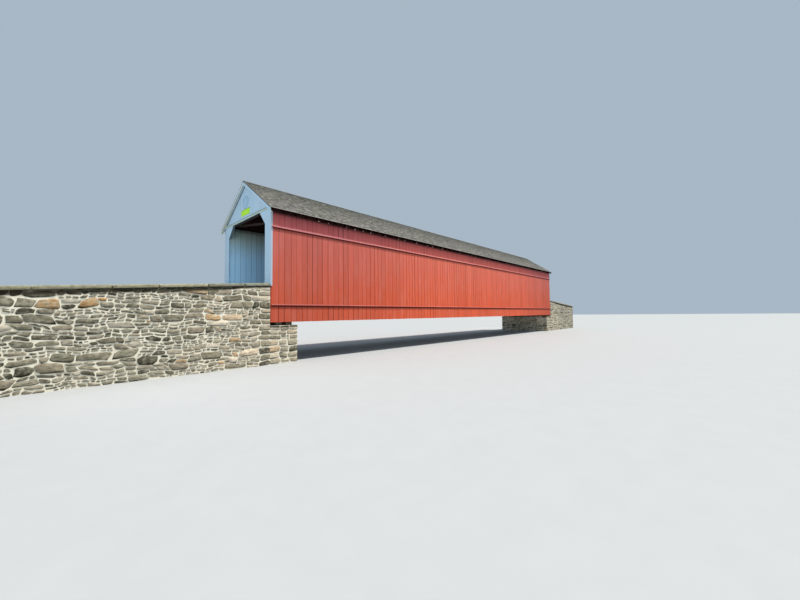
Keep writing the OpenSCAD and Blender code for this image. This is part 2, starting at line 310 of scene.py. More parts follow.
@dataclass
class Timbers:
    """Straight timbers of rectangular section with eased edges, one row of each array for each.

    along and across are unit vectors at right angles, one for all or one for each, and a timber's
    thickness is measured along their cross product.
    """

    centre: np.ndarray
    along: np.ndarray
    across: np.ndarray
    half_w: Number
    half_t: Number
    chamfer: float = 0.003

    def outline(self) -> np.ndarray:
        """Ease the corners of the timbers' sections.

        Returns:
            The eight points (across, through) of each timber.
        """
        count = len(self.centre)
        halves = np.stack([np.broadcast_to(half, count) for half in (self.half_w, self.half_t)], -1)
        corners = np.array([[-1, -1], [1, -1], [1, 1], [-1, 1]]) * halves[:, None, :]
        return eased(corners, np.minimum(self.chamfer, 0.45 * halves.min(-1))[:, None, None])

    def shape(self, low: Number, high: Number, rng: np.random.Generator, rings: int = 2,
              sway: float = 0.0) -> Shape:
        """Carry the timbers from their lower ends to their upper ones, as carry says."""
        return carry(self.outline(), self.centre, self.along, self.across, low, high, rng, rings, sway)

    def between(self, first: float, last: float, rng: np.random.Generator) -> Shape:
        """Carry timbers that share one line with y = 0 between two upright cuts.

        An outline point that lies d further along Y than its line meets the cut at y where the
        line's length is (y - d) / along_y.

        Args:
            first: the cut's place along Y at the lower end.
            last: the same at the upper end.
            rng: the source of random numbers.

        Returns:
            The timbers as one shape.
        """
        aside = self.outline() @ np.stack([self.across, np.cross(self.along, self.across)])[:, 1]
        return self.shape((first - aside) / self.along[1], (last - aside) / self.along[1], rng, 4)


def along_x(section: np.ndarray, cuts: np.ndarray, rng: np.random.Generator, joint: float,
            ease: float) -> Shape:
    """Carry one section along X in lengths that are butted end to end, their undersides marked 1.

    Args:
        section: the corners (y, z) of the section, counter-clockwise as seen from +X.
        cuts: the places of the joints, with both ends.
        rng: the source of random numbers.
        joint: the open joint between two lengths.
        ease: how much the section's edges are eased.

    Returns:
        The lengths as one shape.
    """
    count = len(cuts) - 1
    inner = np.full(len(cuts), joint / 2)
    inner[[0, -1]] = 0
    outline = np.broadcast_to(eased(section, ease), (count, 2 * len(section), 2))
    under = (outline[:, None, :, 1] < section[:, 1].min() + 1e-5) * 1.0
    return carry(outline, 0 * X, X, Y, cuts[:-1] + inner[:-1], cuts[1:] - inner[1:], rng, mark=under)


def spread(low: float, high: float, width: float, rng: np.random.Generator,
           vary: float = 0.0) -> np.ndarray:
    """Divide a length into boards of about one width.

    Args:
        low, high: the ends of the length.
        width: the wanted width of a board.
        rng: the source of random numbers.
        vary: how much the widths differ, as a share of the width.

    Returns:
        The edges between boards, from low to high.
    """
    count = max(1, round((high - low) / width))
    widths = 1 + vary * rng.uniform(-1, 1, count)
    return low + (high - low) * np.concatenate([[0], np.cumsum(widths)]) / widths.sum()


def uprights(edges: np.ndarray, wall: Box, axis: int, gap: float, rng: np.random.Generator,
             chamfer: float, stand: float = 0.0) -> Timbers:
    """Stand boards side by side in the thickness of a wall.

    Args:
        edges: the joints between the boards, along the wall.
        wall: the box that the boards fill.
        axis: 0 where the wall runs along X, 1 where it runs along Y.
        gap: the open joint between two boards, more in some places and less in others.
        rng: the source of random numbers.
        chamfer: the width of the boards' eased edges.
        stand: the most that a board lies back from the wall's two faces.

    Returns:
        The boards, whose lines run up from z = 0.
    """
    count = len(edges) - 1
    other = 1 - axis
    open_joint = gap * rng.uniform(0.4, 1.6, count)
    centre = np.zeros((count, 3))
    centre[:, axis] = (edges[1:] + edges[:-1]) / 2
    centre[:, other] = wall.middle[other]
    half_t = wall.size[other] / 2 - rng.uniform(0, stand, count)
    return Timbers(centre, Z, (X, Y)[axis], (edges[1:] - edges[:-1] - open_joint) / 2, half_t, chamfer)


# Stones


@dataclass(frozen=True)
class Face:
    """One flat face of a wall: a corner, the way along it, its width and the heights of its two ends.

    buried is how far from the bridge's middle, and how high, another wall hides the face.
    """

    corner: tuple[float, float, float]
    right: tuple[float, float, float]
    width: float
    tops: tuple[float, float]
    buried: tuple[float, float] = (0.0, 0.0)

    @classmethod
    def between(cls, one: tuple[float, float], two: tuple[float, float], out: tuple[float, float],
                tops: tuple[float, float], buried: tuple[float, float] = (0.0, 0.0)) -> "Face":
        """Span two upright edges.

        Args:
            one, two: the edges (x, y).
            out: the unit vector (x, y) that the face looks along.
            tops: the heights of the face at the two edges.
            buried: the part of the face that another wall hides.

        Returns:
            The face, which runs to the right for someone who looks at it.
        """
        right = np.array([-out[1], out[0]])
        run = float(np.dot(np.subtract(two, one), right))
        if run < 0:
            one, tops = two, tops[::-1]
        return cls((*one, 0.0), (*right, 0.0), abs(run), tops, buried)

    def top(self, along: np.ndarray) -> np.ndarray:
        """Return the height of the face's upper edge at places along it."""
        return self.tops[0] + (self.tops[1] - self.tops[0]) * along / self.width


@dataclass
class Masonry:
    """Rubble laid to rough courses: blocks, wedges and slivers, a little proud of wide mortar joints."""

    joint: float = 0.019
    course: tuple[float, float] = (0.098, 0.182)
    courses: int = 30
    block: tuple[float, float] = (0.20, 0.48)
    short_block: float = 0.12
    rows: tuple[float, float, float] = (0.36, 0.50, 0.14)
    length_ratio: tuple[float, float] = (1.2, 3.6)
    short_stone: float = 0.9
    taper: float = 0.44
    slant: float = 0.30
    most_slant: float = 0.45
    lean: float = 0.024
    heave: Spots = ((1.0, 5.1, 3.0), (0.7, 11.3, -7.0), (0.4, 23.0, 9.0))
    sway: Spots = ((1.0, 4.0, 13.0), (0.6, -5.0, 29.0))
    warp: float = 0.016
    rough: float = 0.11
    bevel: tuple[float, float] = (0.006, 0.014)
    proud: tuple[float, float] = (0.004, 0.013)
    corner_proud: float = 0.006
    ochre_from: float = 0.038
    quoins: tuple[float, float] = (0.265, 0.215)
    squareness: tuple[float, float] = (2.5, 7.0)
    sunk: float = 0.004
    below_top: float = 0.010
    least_h: float = 0.018
    points: int = 12
    levels: np.ndarray = field(init=False)

    def __post_init__(self) -> None:
        """Choose the heights of the courses, which all the walls share."""
        rng = np.random.default_rng(71)
        self.levels = np.concatenate([[0], np.cumsum(rng.uniform(*self.course, self.courses))])

    def cells(self, face: Face, rng: np.random.Generator, parity: int) -> tuple[np.ndarray, np.ndarray]:
        """Divide a face into the four-sided cells that its stones fill.

        Each course is cut into blocks by leaning joints, a block into one to three rows that may
        taper, and a row into stones. Both ends of a course are one cornerstone.

        Args:
            face: the wall's face.
            rng: the source of random numbers.
            parity: 0 or 1, which sets the courses that start with a long cornerstone.

        Returns:
            The corners of each cell, from the lower left round to the upper left, and its kind:
            1 at the left corner of the wall, 2 at the right one, and 0 between.
        """
        quads, kinds = [], []
        for number, (low, high) in enumerate(zip(self.levels, self.levels[1:])):
            if low >= max(face.tops) - 0.02:
                break
            long, short = self.quoins if (number + parity) % 2 else self.quoins[::-1]
            left = min(long, 0.6 * face.width)
            right = face.width - min(short, 0.4 * face.width)
            for kind, start, end in ((1, 0.0, left), (2, right, face.width)):
                quads.append([(start, low), (end, low), (end, high), (start, high)])
                kinds.append(kind)
            cuts = [left]
            while cuts[-1] < right - 1e-6:
                reach = cuts[-1] + rng.uniform(*self.block)
                cuts.append(right if reach > right - self.short_block else reach)
            leans = rng.normal(0, self.lean, len(cuts))
            leans[[0, -1]] = 0
            for spot in range(len(cuts) - 1):
                found = self.stones_of(cuts[spot:spot + 2], leans[spot:spot + 2], (low, high), rng)
                quads += found
                kinds += [0] * len(found)
        return np.array(quads), np.array(kinds)[:, None]

    def stones_of(self, ends: list[float], leans: np.ndarray, levels: tuple[float, float],
                  rng: np.random.Generator) -> list[list[tuple[float, float]]]:
        """Cut one block into rows, and the rows into stones.

        Args:
            ends: the places of the block's two ends.
            leans: how far each end leans.
            levels: the block's lower and upper level.
            rng: the source of random numbers.

        Returns:
            The four corners of each stone.
        """
        low, high = levels
        width = ends[1] - ends[0]

        def corner(share: float, rise: float) -> tuple[float, float]:
            """Return the place at a share of the block's width and height."""
            edge = [end + lean * (2 * rise - 1) for end, lean in zip(ends, leans)]
            return edge[0] + (edge[1] - edge[0]) * share, low + (high - low) * rise

        rows = rng.choice([1, 2, 3], p=self.rows)
        beds = np.repeat(np.linspace(0, 1, rows + 1)[:, None], 2, 1)
        beds[1:-1] += rng.uniform(-self.taper, self.taper, (rows - 1, 2)) / rows
        stones = []
        for under, over in zip(beds, beds[1:]):
            row_h = (high - low) * (over - under).mean() / width
            joints = [0.0]
            while joints[-1] < 1 - 1e-6:
                reach = joints[-1] + row_h * rng.uniform(*self.length_ratio)
                joints.append(1.0 if reach > 1 - self.short_stone * row_h else reach)
            slants = rng.normal(0, self.slant * row_h, len(joints))
            slants = np.clip(slants, -self.most_slant * row_h, self.most_slant * row_h)
            slants[[0, -1]] = 0
            for j in range(len(joints) - 1):
                foot = np.array(joints[j:j + 2]) - slants[j:j + 2]
                head = np.array(joints[j:j + 2]) + slants[j:j + 2]
                stones.append([corner(share, bed[0] + (bed[1] - bed[0]) * share)
                               for bed, shares in ((under, foot), (over, head[::-1])) for share in shares])
        return stones

    @staticmethod
    def ripple(waves: Spots, starts: np.ndarray, u: np.ndarray, v: np.ndarray) -> np.ndarray:
        """Add up sines of u and v, each with its height, its pace along u and along v, and its start."""
        return sum(high * np.sin(along * u + up * v + start)
                   for (high, along, up), start in zip(waves, starts))

    def lay(self, face: Face, seed: int, parity: int = 0, spots: Spots = ()) -> Shape:
        """Lay the stones of one face.

        A stone's outline is a squarish oval, |x|^p + |y|^p = 1, stretched over its cell by the
        cell's four corners, and moved by a field of sines and a little at each point. Three such
        rings, sunk, at the edge and drawn in on top, and a middle point make the stone.

        Args:
            face: the wall's face.
            seed: the start of its random numbers.
            parity: which courses start with a long cornerstone.
            spots: places x and z near which a large stone has a given tone, the third number.

        Returns:
            The stones as one shape.
        """
        rng = np.random.default_rng(seed)
        quads, kinds = self.cells(face, rng, parity)
        count, points = len(quads), self.points
        x, y = oval(points, 2 / rng.uniform(*self.squareness, (count, 1)))
        half_w = (quads[:, 1:3, 0].sum(1) - quads[:, [0, 3], 0].sum(1))[:, None] / 4
        half_h = (quads[:, 2:, 1].sum(1) - quads[:, :2, 1].sum(1))[:, None] / 4
        gap = self.joint * rng.uniform(0.34, 0.66, (count, 1))
        s = x * (1 - np.minimum(gap / half_w, 0.5))
        t = y * (1 - np.minimum(gap / half_h, 0.5))
        weights = [(1 + i * s) * (1 + j * t) / 4 for i, j in ((-1, -1), (1, -1), (1, 1), (-1, 1))]
        weights = np.stack(weights, -1)
        u, v = np.moveaxis(weights @ quads, -1, 0)

        wave = rng.uniform(0, 2 * np.pi, 5)
        calm = np.clip(np.minimum(u, face.width - u) / 0.25, 0, 1)
        heave = self.ripple(self.heave, wave[:3], u, v)
        sway = self.ripple(self.sway, wave[3:], u, v)
        loose = self.rough * np.minimum(half_w, half_h) * np.where(kinds > 0, 0.4, 1.0)
        u = u + self.warp * sway * calm * 0.8 + rng.normal(0, 1, u.shape) * loose
        v = v + self.warp * heave * calm + rng.normal(0, 1, v.shape) * loose * 0.7
        outer = np.where(kinds == 1, -1, 1) * (kinds > 0)
        u = u + outer * np.clip(x * outer, 0, 1) * (gap + self.corner_proud)
        v = np.clip(v, 0.001, face.top(np.clip(u, 0, face.width)) - self.below_top)
        far = np.abs(face.corner[0] + face.right[0] * u).max(1)
        keep = (np.ptp(v, 1) > self.least_h) & ((far > face.buried[0]) | (v.max(1) > face.buried[1]))
        u, v, x, y, half_w, half_h, kinds = (array[keep] for array in (u, v, x, y, half_w, half_h, kinds))
        count = len(u)

        proud = np.where(kinds > 0, self.corner_proud, rng.uniform(*self.proud, (count, 1)))
        centre_u, centre_v = u.mean(1, keepdims=True), v.mean(1, keepdims=True)
        bevel = rng.uniform(*self.bevel, (count, 1))
        draw_u, draw_v = (1 - np.minimum(bevel / half, 0.45) for half in (half_w, half_h))
        tilt = rng.normal(0, 0.16, (2, count, 1)) * proud
        lean = tilt[0] * x + tilt[1] * y
        rings = [
            np.stack([centre_u + (u - centre_u) * in_u, centre_v + (v - centre_v) * in_v,
                      height + rng.normal(0, 0.0007, u.shape)], -1)
            for in_u, in_v, height in ((1, 1, -self.sunk), (1, 1, 0.45 * proud + 0.5 * lean),
                                       (draw_u, draw_v, proud + lean))
        ]
        top = np.stack([centre_u, centre_v, proud * 1.06], -1)
        local = np.concatenate([*rings, top], 1)
        world = np.array(face.corner) + local @ np.stack([face.right, Z, np.cross(face.right, Z)])

        tones = rng.uniform(0, 1, (2, count, 1))
        tones[0] *= np.where(half_h > self.ochre_from, 0.982, 0.93)
        for spot_x, spot_z, tone in spots:
            far = np.hypot(world[:, -1, 0] - spot_x, world[:, -1, 2] - spot_z) - 2.5 * half_h[:, 0]
            tones[0, far.argmin()] = tone
        grain = local + rng.uniform(0, GRAIN_SHIFT, (count, 1, 3))
        under = np.clip((centre_v - local[..., 1]) / half_h[:, :1], 0, 1)
        ends = np.stack([local[..., 1], face.top(local[..., 0]) - local[..., 1], under], -1)
        piece = tagged(tones, local[..., 2] / proud)
        return Shape(world, ring_faces(count, len(rings), points, 1), grain, piece, ends)


# Materials


class Value:
    """A socket of a finish, on which arithmetic adds Math nodes."""

    def __init__(self, recipe: "Recipe", socket: bpy.types.NodeSocket) -> None:
        """Keep the socket and the recipe that it belongs to."""
        self.recipe = recipe
        self.socket = socket

    def math(self, operation: str, *others: "Value | float") -> "Value":
        """Return the result of one Math node on this value and the others."""
        inputs = dict(enumerate((self, *others)))
        return self.recipe.node("ShaderNodeMath", {"operation": operation}, inputs)

    def __add__(self, other: "Value | float") -> "Value":
        """Add."""
        return self.math("ADD", other)

    __radd__ = __add__

    def __mul__(self, other: "Value | float") -> "Value":
        """Multiply."""
        return self.math("MULTIPLY", other)

    __rmul__ = __mul__

    def __sub__(self, other: "Value | float") -> "Value":
        """Subtract."""
        return self.math("SUBTRACT", other)

    def __rsub__(self, other: float) -> "Value":
        """Subtract this value from a number."""
        return self * -1.0 + other

    def __abs__(self) -> "Value":
        """Drop the sign."""
        return self.math("ABSOLUTE")

    def step(self, low: float, high: float) -> "Value":
        """Rise smoothly from 0 at low to 1 at high.

        Args:
            low: the value that gives 0.
            high: the value that gives 1, which may be the smaller one.

        Returns:
            The smooth step.
        """
        if low > high:
            return 1 - self.step(high, low)
        return self.recipe.node("ShaderNodeMapRange", {"interpolation_type": "SMOOTHSTEP"},
                                {"Value": self, "From Min": low, "From Max": high})


class Recipe:
    """One material and its nodes, round a single Principled shader."""

    def __init__(self, name: str) -> None:
        """Start a material whose only nodes are the shader and the output.

        Args:
            name: the material's name.
        """
        self.material = bpy.data.materials.new(name)
        self.material.use_nodes = True
        self.tree = self.material.node_tree
        self.shader = next(n for n in self.tree.nodes if n.type == "BSDF_PRINCIPLED")

    def node(self, kind: str, settings: dict, inputs: dict, output: int | str = 0) -> Value:
        """Add a node.

        Args:
            kind: the node's type.
            settings: what is set on the node first; stops are a ramp's places and colours.
            inputs: values or links by socket name or number.
            output: the socket that the caller wants.

        Returns:
            That output socket.
        """
        made = self.tree.nodes.new(kind)
        for key, setting in settings.items():
            if key == "stops":
                ramp = made.color_ramp.elements
                while len(ramp) < len(setting):
                    ramp.new(1.0)
                for element, (place, colour) in zip(ramp, setting):
                    element.position, element.color = place, (*colour, 1.0)
            else:
                setattr(made, key, setting)
        for key, given in inputs.items():
            self.feed(made.inputs[key], given)
        return Value(self, made.outputs[output])

    def feed(self, socket: bpy.types.NodeSocket, given: "Value | float | Colour") -> None:
        """Link or set one input socket.

        Args:
            socket: the input.
            given: another socket, a number, a vector or a colour.
        """
        if isinstance(given, Value):
            self.tree.links.new(given.socket, socket)
        elif socket.type == "RGBA":
            socket.default_value = (*given, 1.0)
        else:
            socket.default_value = given

    def place(self) -> Value:
        """Read the place in the row frame, in metres."""
        return self.node("ShaderNodeTexCoord", {}, {}, "Object")

    def attribute(self, label: str) -> Value:
        """Read a point attribute of the mesh as a vector."""
        return self.node("ShaderNodeAttribute", {"attribute_name": label}, {}, "Vector")

    def split(self, vector: Value) -> tuple[Value, Value, Value]:
        """Take a vector apart."""
        made = self.node("ShaderNodeSeparateXYZ", {}, {0: vector}).socket.node
        return tuple(Value(self, s) for s in made.outputs)

    def scaled(self, vector: Value, scale: tuple[float, float, float]) -> Value:
        """Stretch a vector along its axes."""
        return self.node("ShaderNodeVectorMath", {"operation": "MULTIPLY"}, {0: vector, 1: scale})

    def noise(self, vector: Value, scale: float, detail: float = 3.0, rough: float = 0.55) -> Value:
        """Read smooth noise, of which scale waves fit into a metre."""
        inputs = {"Vector": vector, "Scale": scale, "Detail": detail, "Roughness": rough}
        return self.node("ShaderNodeTexNoise", {}, inputs)

    def mix(self, share: "Value | float", one: "Value | Colour", two: "Value | Colour",
            blend: str = "MIX") -> Value:
        """Mix two colours.

        Args:
            share: how much of the second one.
            one: the first colour.
            two: the second colour.
            blend: how the second lies on the first.

        Returns:
            The mixed colour.
        """
        settings = {"data_type": "RGBA", "blend_type": blend, "clamp_factor": True}
        return self.node("ShaderNodeMix", settings, {0: share, 6: one, 7: two}, 2)

    def toned(self, tones: tuple[tuple[float, Colour], ...], tone: Value) -> Value:
        """Read the colour of a tone from 0 to 1 off a row of colours and their places."""
        return self.node("ShaderNodeValToRGB", {"stops": tones}, {"Fac": tone})

    def shaded(self, colour: Value, tone: Value, spread: float) -> Value:
        """Make a colour darker or lighter by a tone from 0 to 1, by at most a share of it."""
        return self.mix(1.0, colour, self.mix(tone, (1 - spread,) * 3, (1 + spread,) * 3), "MULTIPLY")

    def bump(self, height: Value, depth: float, strength: float = 1.0, under: Value | None = None) -> Value:
        """Turn a height into a normal.

        Args:
            height: the height, as a share of the depth.
            depth: the depth in metres.
            strength: how much of it shows.
            under: a normal from another bump, on which this one lies.

        Returns:
            The normal.
        """
        inputs = {"Height": height, "Distance": depth, "Strength": strength}
        if under is not None:
            inputs["Normal"] = under
        return self.node("ShaderNodeBump", {}, inputs)

    def finish(self, colour: Value, roughness: "Value | float", normal: Value,
               specular: float) -> bpy.types.Material:
        """Feed the shader.

        Args:
            colour: the base colour.
            roughness: the roughness.
            normal: the bumped normal.
            specular: the strength of plain reflections.

        Returns:
            The finished material.
        """
        inputs = {"Base Color": colour, "Roughness": roughness, "Normal": normal,
                  "Specular IOR Level": specular}
        for name, given in inputs.items():
            self.feed(self.shader.inputs[name], given)
        return self.material


ROOF_ANGLE = math.radians(33.69)
PORTAL_X = Box.of("far_gable").high[0]
WALL_TOP = Box.of("far_front_wing_wall").high[2]
EAVE_Z = Box.of("front_upper_siding").high[2]
SHORTER_SHADE = (10.2, 9.6, 0.9)


class Grain(Enum):
    """How wood grain lies on a piece: by the mesh's own attribute, or turned from the row frame."""

    OWN = None
    ALONG_X = (0.0, 0.0, 0.0)
    ALONG_Y = (0.0, 0.0, -math.pi / 2)
    ALONG_Z = (0.0, math.pi / 2, 0.0)
    FRONT_SLOPE = (-ROOF_ANGLE, 0.0, -math.pi / 2)
    BACK_SLOPE = (ROOF_ANGLE, 0.0, math.pi / 2)

    def read(self, recipe: Recipe) -> Value:
        """Read the coordinates of this way of the grain.

        Args:
            recipe: the material that needs them.

        Returns:
            Coordinates in metres whose first axis runs with the grain.
        """
        if self.value is None:
            return recipe.attribute("grain")
        return recipe.node("ShaderNodeMapping", {}, {"Vector": recipe.place(), "Rotation": self.value})


@dataclass(frozen=True)
class Paint:
    """Flat barn paint on sawn boards: chalky streaks with the grain, and grime where boards meet.

    The colour changes from low_colour to colour between two heights. weather is the tint of
    painted light and shade that the paint takes towards both ends of the bridge, and
    sound the one towards its middle, over a span given by its centre and the two
    distances from it. ledge_shadow is how far down a painted shadow reaches under a ledge, eave how
    far the painted shade of an eave does, line the height of a painted shadow line and under the
    strength of the painted shade on an underside. reveal gives how far from the bridge's middle the
    front faces stand, behind which the paint has painted shade, and the height where that starts.
    dirt is the colour of both the grime and the painted shade.
    """

    name: str
    colour: Colour
    low_colour: Colour
    faded: Colour
    dirt: Colour
    heights: tuple[float, float] = (1.3, 3.2)
    fade: float = 0.5
    grime_and_shade: float = 0.5
    vary: float = 0.05
    weather: Colour | None = None
    sound: Colour = (1.0, 1.0, 1.0)
    span: tuple[float, float, float] = (0.5, 3.0, 9.0)
    ledge_shadow: float = 0.0
    eave: float = 0.0
    line: float = 0.0
    under: float = 0.0
    reveal: tuple[float, float] | None = None

    def material(self, grain: Grain = Grain.OWN) -> bpy.types.Material:
        """Build the material.

        Args:
            grain: how the boards' grain lies.

        Returns:
            The material, named for the finish and the grain.
        """
        recipe = Recipe(f"{self.name}_{grain.name.lower()}")
        place = grain.read(recipe)
        length, _, height = recipe.split(recipe.place())
        fibre = recipe.noise(recipe.scaled(place, (0.035, 1.0, 1.0)), 160, 4, 0.62)
        streak = recipe.noise(recipe.scaled(place, (0.05, 1.0, 1.0)), 26, 3, 0.6)
        cloud = recipe.noise(place, 1.3, 3, 0.55)
        colour = recipe.mix(height.step(*self.heights), self.low_colour, self.colour)
        worn = (streak.step(0.42, 0.74) * 0.6 + cloud.step(0.40, 0.75) * 0.4) * self.fade
        colour = recipe.mix(worn, colour, self.faded)
        # Painted light and shade along the bridge: a tint by the distance from the span's centre.
        if self.weather is not None:
            centre, inner, outer = self.span
            tint = recipe.mix(abs(length - centre).step(inner, outer), self.sound, self.weather)
            colour = recipe.mix(1.0, colour, tint, "MULTIPLY")
        grime_and_shade = fibre.step(0.62, 0.80) * 0.3 * self.grime_and_shade
        # Painted shadow line at one height.
        if self.line:
            grime_and_shade = grime_and_shade + abs(height - self.line).step(0.012, 0.006) * 0.8
        # Painted shade in the reveals behind the portal's front faces, stronger above the corners' foot.
        if self.reveal is not None:
            front, start = self.reveal
            shade = height.step(start - 0.05, start) * 0.80 + 0.12
            grime_and_shade = grime_and_shade + abs(length).step(front - 0.002, front - 0.010) * shade
        if grain is Grain.OWN:
            colour, grime_and_shade = self.board(recipe, colour, grime_and_shade)
        # Grime and painted shade darken the paint.
        colour = recipe.mix(grime_and_shade, colour, self.dirt)
        normal = recipe.bump(fibre, 0.0010, 0.8, recipe.bump(streak, 0.002, 0.5))
        return recipe.finish(colour, 0.60 + 0.25 * fibre, normal, 0.25)

    def board(self, recipe: Recipe, colour: Value, grime_and_shade: Value) -> tuple[Value, Value]:
        """Add what follows each board: its own tone, its dirty edges and its ends.

        Args:
            recipe: the material.
            colour: the paint's colour so far.
            grime_and_shade: the share of grime and painted shade so far.

        Returns:
            The colour and the share of grime and painted shade.
        """
        tone, across, second = recipe.split(recipe.attribute("piece"))
        _, below, under = recipe.split(recipe.attribute("ends"))
        colour = recipe.shaded(colour, tone, self.vary)
        grime_and_shade = grime_and_shade + abs(across).step(0.93, 0.99) * (0.15 + 0.95 * second) * self.grime_and_shade
        grime_and_shade = grime_and_shade + abs(across).step(0.82, 0.97) * second.step(0.72, 0.92) * self.grime_and_shade
        # Painted shade on the undersides, which are marked 1.
        if self.under:
            grime_and_shade = grime_and_shade + under * self.under
        # Painted shadow under a ledge: a soft band and a darker line just below it.
        if self.ledge_shadow:
            grime_and_shade = grime_and_shade + below.step(self.ledge_shadow, 0.5 * self.ledge_shadow) * 0.4
            grime_and_shade = grime_and_shade + below.step(0.060, 0.042) * 0.6
        # Painted shade under the eave, darkest at the boards' upper ends.
        if self.eave:
            grime_and_shade = grime_and_shade + below.step(self.eave, 0.0) * 0.38
            grime_and_shade = grime_and_shade + below.step(0.33 * self.eave, 0.0) * 0.5
        return colour, grime_and_shade


@dataclass(frozen=True)
class SawnWood:
    """Bare sawn wood, aged and dry: long fibres, darker bands, saw marks across and a few checks.

    eave_shade is a painted shade: the near-black colour of the timber under the eaves, with the height
    above which it has it.
    """

    name: str
    colour: Colour
    dark: Colour
    pale: Colour
    vary: float = 0.22
    checks: float = 0.6
    gloss: float = 0.25
    eave_shade: tuple[Colour, float] | None = None

    def material(self, grain: Grain = Grain.OWN) -> bpy.types.Material:
        """Build the material.

        Args:
            grain: how the timber's grain lies.

        Returns:
            The material, named for the finish and the grain.
        """
        recipe = Recipe(f"{self.name}_{grain.name.lower()}")
        place = grain.read(recipe)
        drawn = recipe.scaled(place, (0.04, 1.0, 1.0))
        fibre = recipe.noise(drawn, 190, 4, 0.65)
        band = recipe.noise(drawn, 34, 3, 0.55)
        cloud = recipe.noise(place, 2.6, 3, 0.6)
        saw = recipe.noise(recipe.scaled(place, (1.0, 0.03, 0.03)), 120, 2, 0.5)
        colour = recipe.mix(band.step(0.35, 0.70), self.colour, self.dark)
        colour = recipe.mix(cloud.step(0.42, 0.75) * 0.6, colour, self.pale)
        crack = recipe.noise(recipe.scaled(place, (0.012, 1.0, 1.0)), 60, 2, 0.5).step(0.66, 0.72)
        if grain is Grain.OWN:
            tone, across, _ = recipe.split(recipe.attribute("piece"))
            colour = recipe.shaded(colour, tone, self.vary)
            colour = recipe.mix(abs(across).step(0.88, 1.0) * 0.35, colour, self.dark)
        colour = recipe.mix(crack * self.checks, colour, tuple(0.35 * c for c in self.dark))
        # Painted shade under the eaves: near black above a height.
        if self.eave_shade is not None:
            black, start = self.eave_shade
            height = recipe.split(recipe.place())[2]
            colour = recipe.mix(height.step(start - 0.03, start) * 0.9, colour, black)
        height = fibre * 0.6 + saw * 0.25 - crack * 0.8
        return recipe.finish(colour, 0.68 + 0.22 * fibre, recipe.bump(height, 0.0016, 0.9), self.gloss)


@dataclass(frozen=True)
class Weathered:
    """Split shingles, silvered: a tone for each, fibres down the slope, lilac and mossy patches.

    The lowest course, whose mark is 1, has a painted highlight along its lower edge, and the covering
    has painted shadow past rake, its distance from the bridge's middle. The butts and the gaps between
    shingles have painted shade. bed is the colour of the bed under the shingles, painted near black as
    shade, and bleached the tint towards the eaves, with the two heights between which it comes on.
    """

    name: str
    tones: tuple[tuple[float, Colour], ...]
    moss: Colour
    lilac: Colour
    pale: Colour
    dark: Colour
    bed: Colour
    rake: float
    bleached: tuple[Colour, float, float]

    def material(self) -> bpy.types.Material:
        """Build the material from the shingles' own tones and coordinates.

        Returns:
            The material.
        """
        recipe = Recipe(self.name)
        drawn = recipe.scaled(recipe.attribute("grain"), (0.10, 1.0, 1.0))
        fibre = recipe.noise(drawn, 260, 3, 0.6)
        band = recipe.noise(drawn, 70, 2, 0.5)
        tone, across, second = recipe.split(recipe.attribute("piece"))
        above, below, mark = recipe.split(recipe.attribute("ends"))
        world = recipe.place()
        length, _, height = recipe.split(world)
        speckle = recipe.noise(world, 26, 3, 0.6)
        colour = recipe.toned(self.tones, tone)
        tint, ridge, eave = self.bleached
        colour = recipe.mix(height.step(ridge, eave), colour, tint, "MULTIPLY")
        colour = recipe.mix(band.step(0.45, 0.8) * 0.5, colour, self.dark)
        moss = recipe.noise(world, 1.1, 4, 0.65).step(0.50, 0.72) * speckle.step(0.40, 0.62)
        lilac = recipe.noise(recipe.scaled(world, (0.8, 1.0, 1.3)), 1.7, 3, 0.6).step(0.52, 0.70) * second
        colour = recipe.mix(moss * 0.5, colour, self.moss)
        colour = recipe.mix(lilac * 0.6, colour, self.lilac)
        # Painted shade under each shingle's butt and in the gaps between shingles.
        painted_shade = above.step(0.013, 0.0) * 0.60 + abs(across).step(0.9, 1.0) * 0.35
        colour = recipe.mix(painted_shade, colour, self.dark)
        # Painted highlight along the lowest course's lower edge.
        colour = recipe.mix(above.step(0.030, 0.018) * mark * 0.85, colour, self.pale)
        # Painted shadow past the rake.
        colour = recipe.mix(abs(length).step(self.rake - 0.004, self.rake) * 0.8, colour, self.dark)
        # The bed is painted near black, as shade.
        colour = recipe.mix(below.step(-0.2, -0.8), colour, recipe.mix(fibre * 0.3, self.bed, self.dark))
        normal = recipe.bump(fibre + band * 0.5, 0.0014, 0.9)
        return recipe.finish(colour, 0.74 + 0.2 * fibre, normal, 0.05)


def near_bridge(below: Value, length: Value) -> Value:
    """Stretch the distance below a coping near the bridge, where its painted shadow reaches half as far down.
    """
    far, near, more = SHORTER_SHADE
    return below * (1 + abs(length).step(far, near) * more)


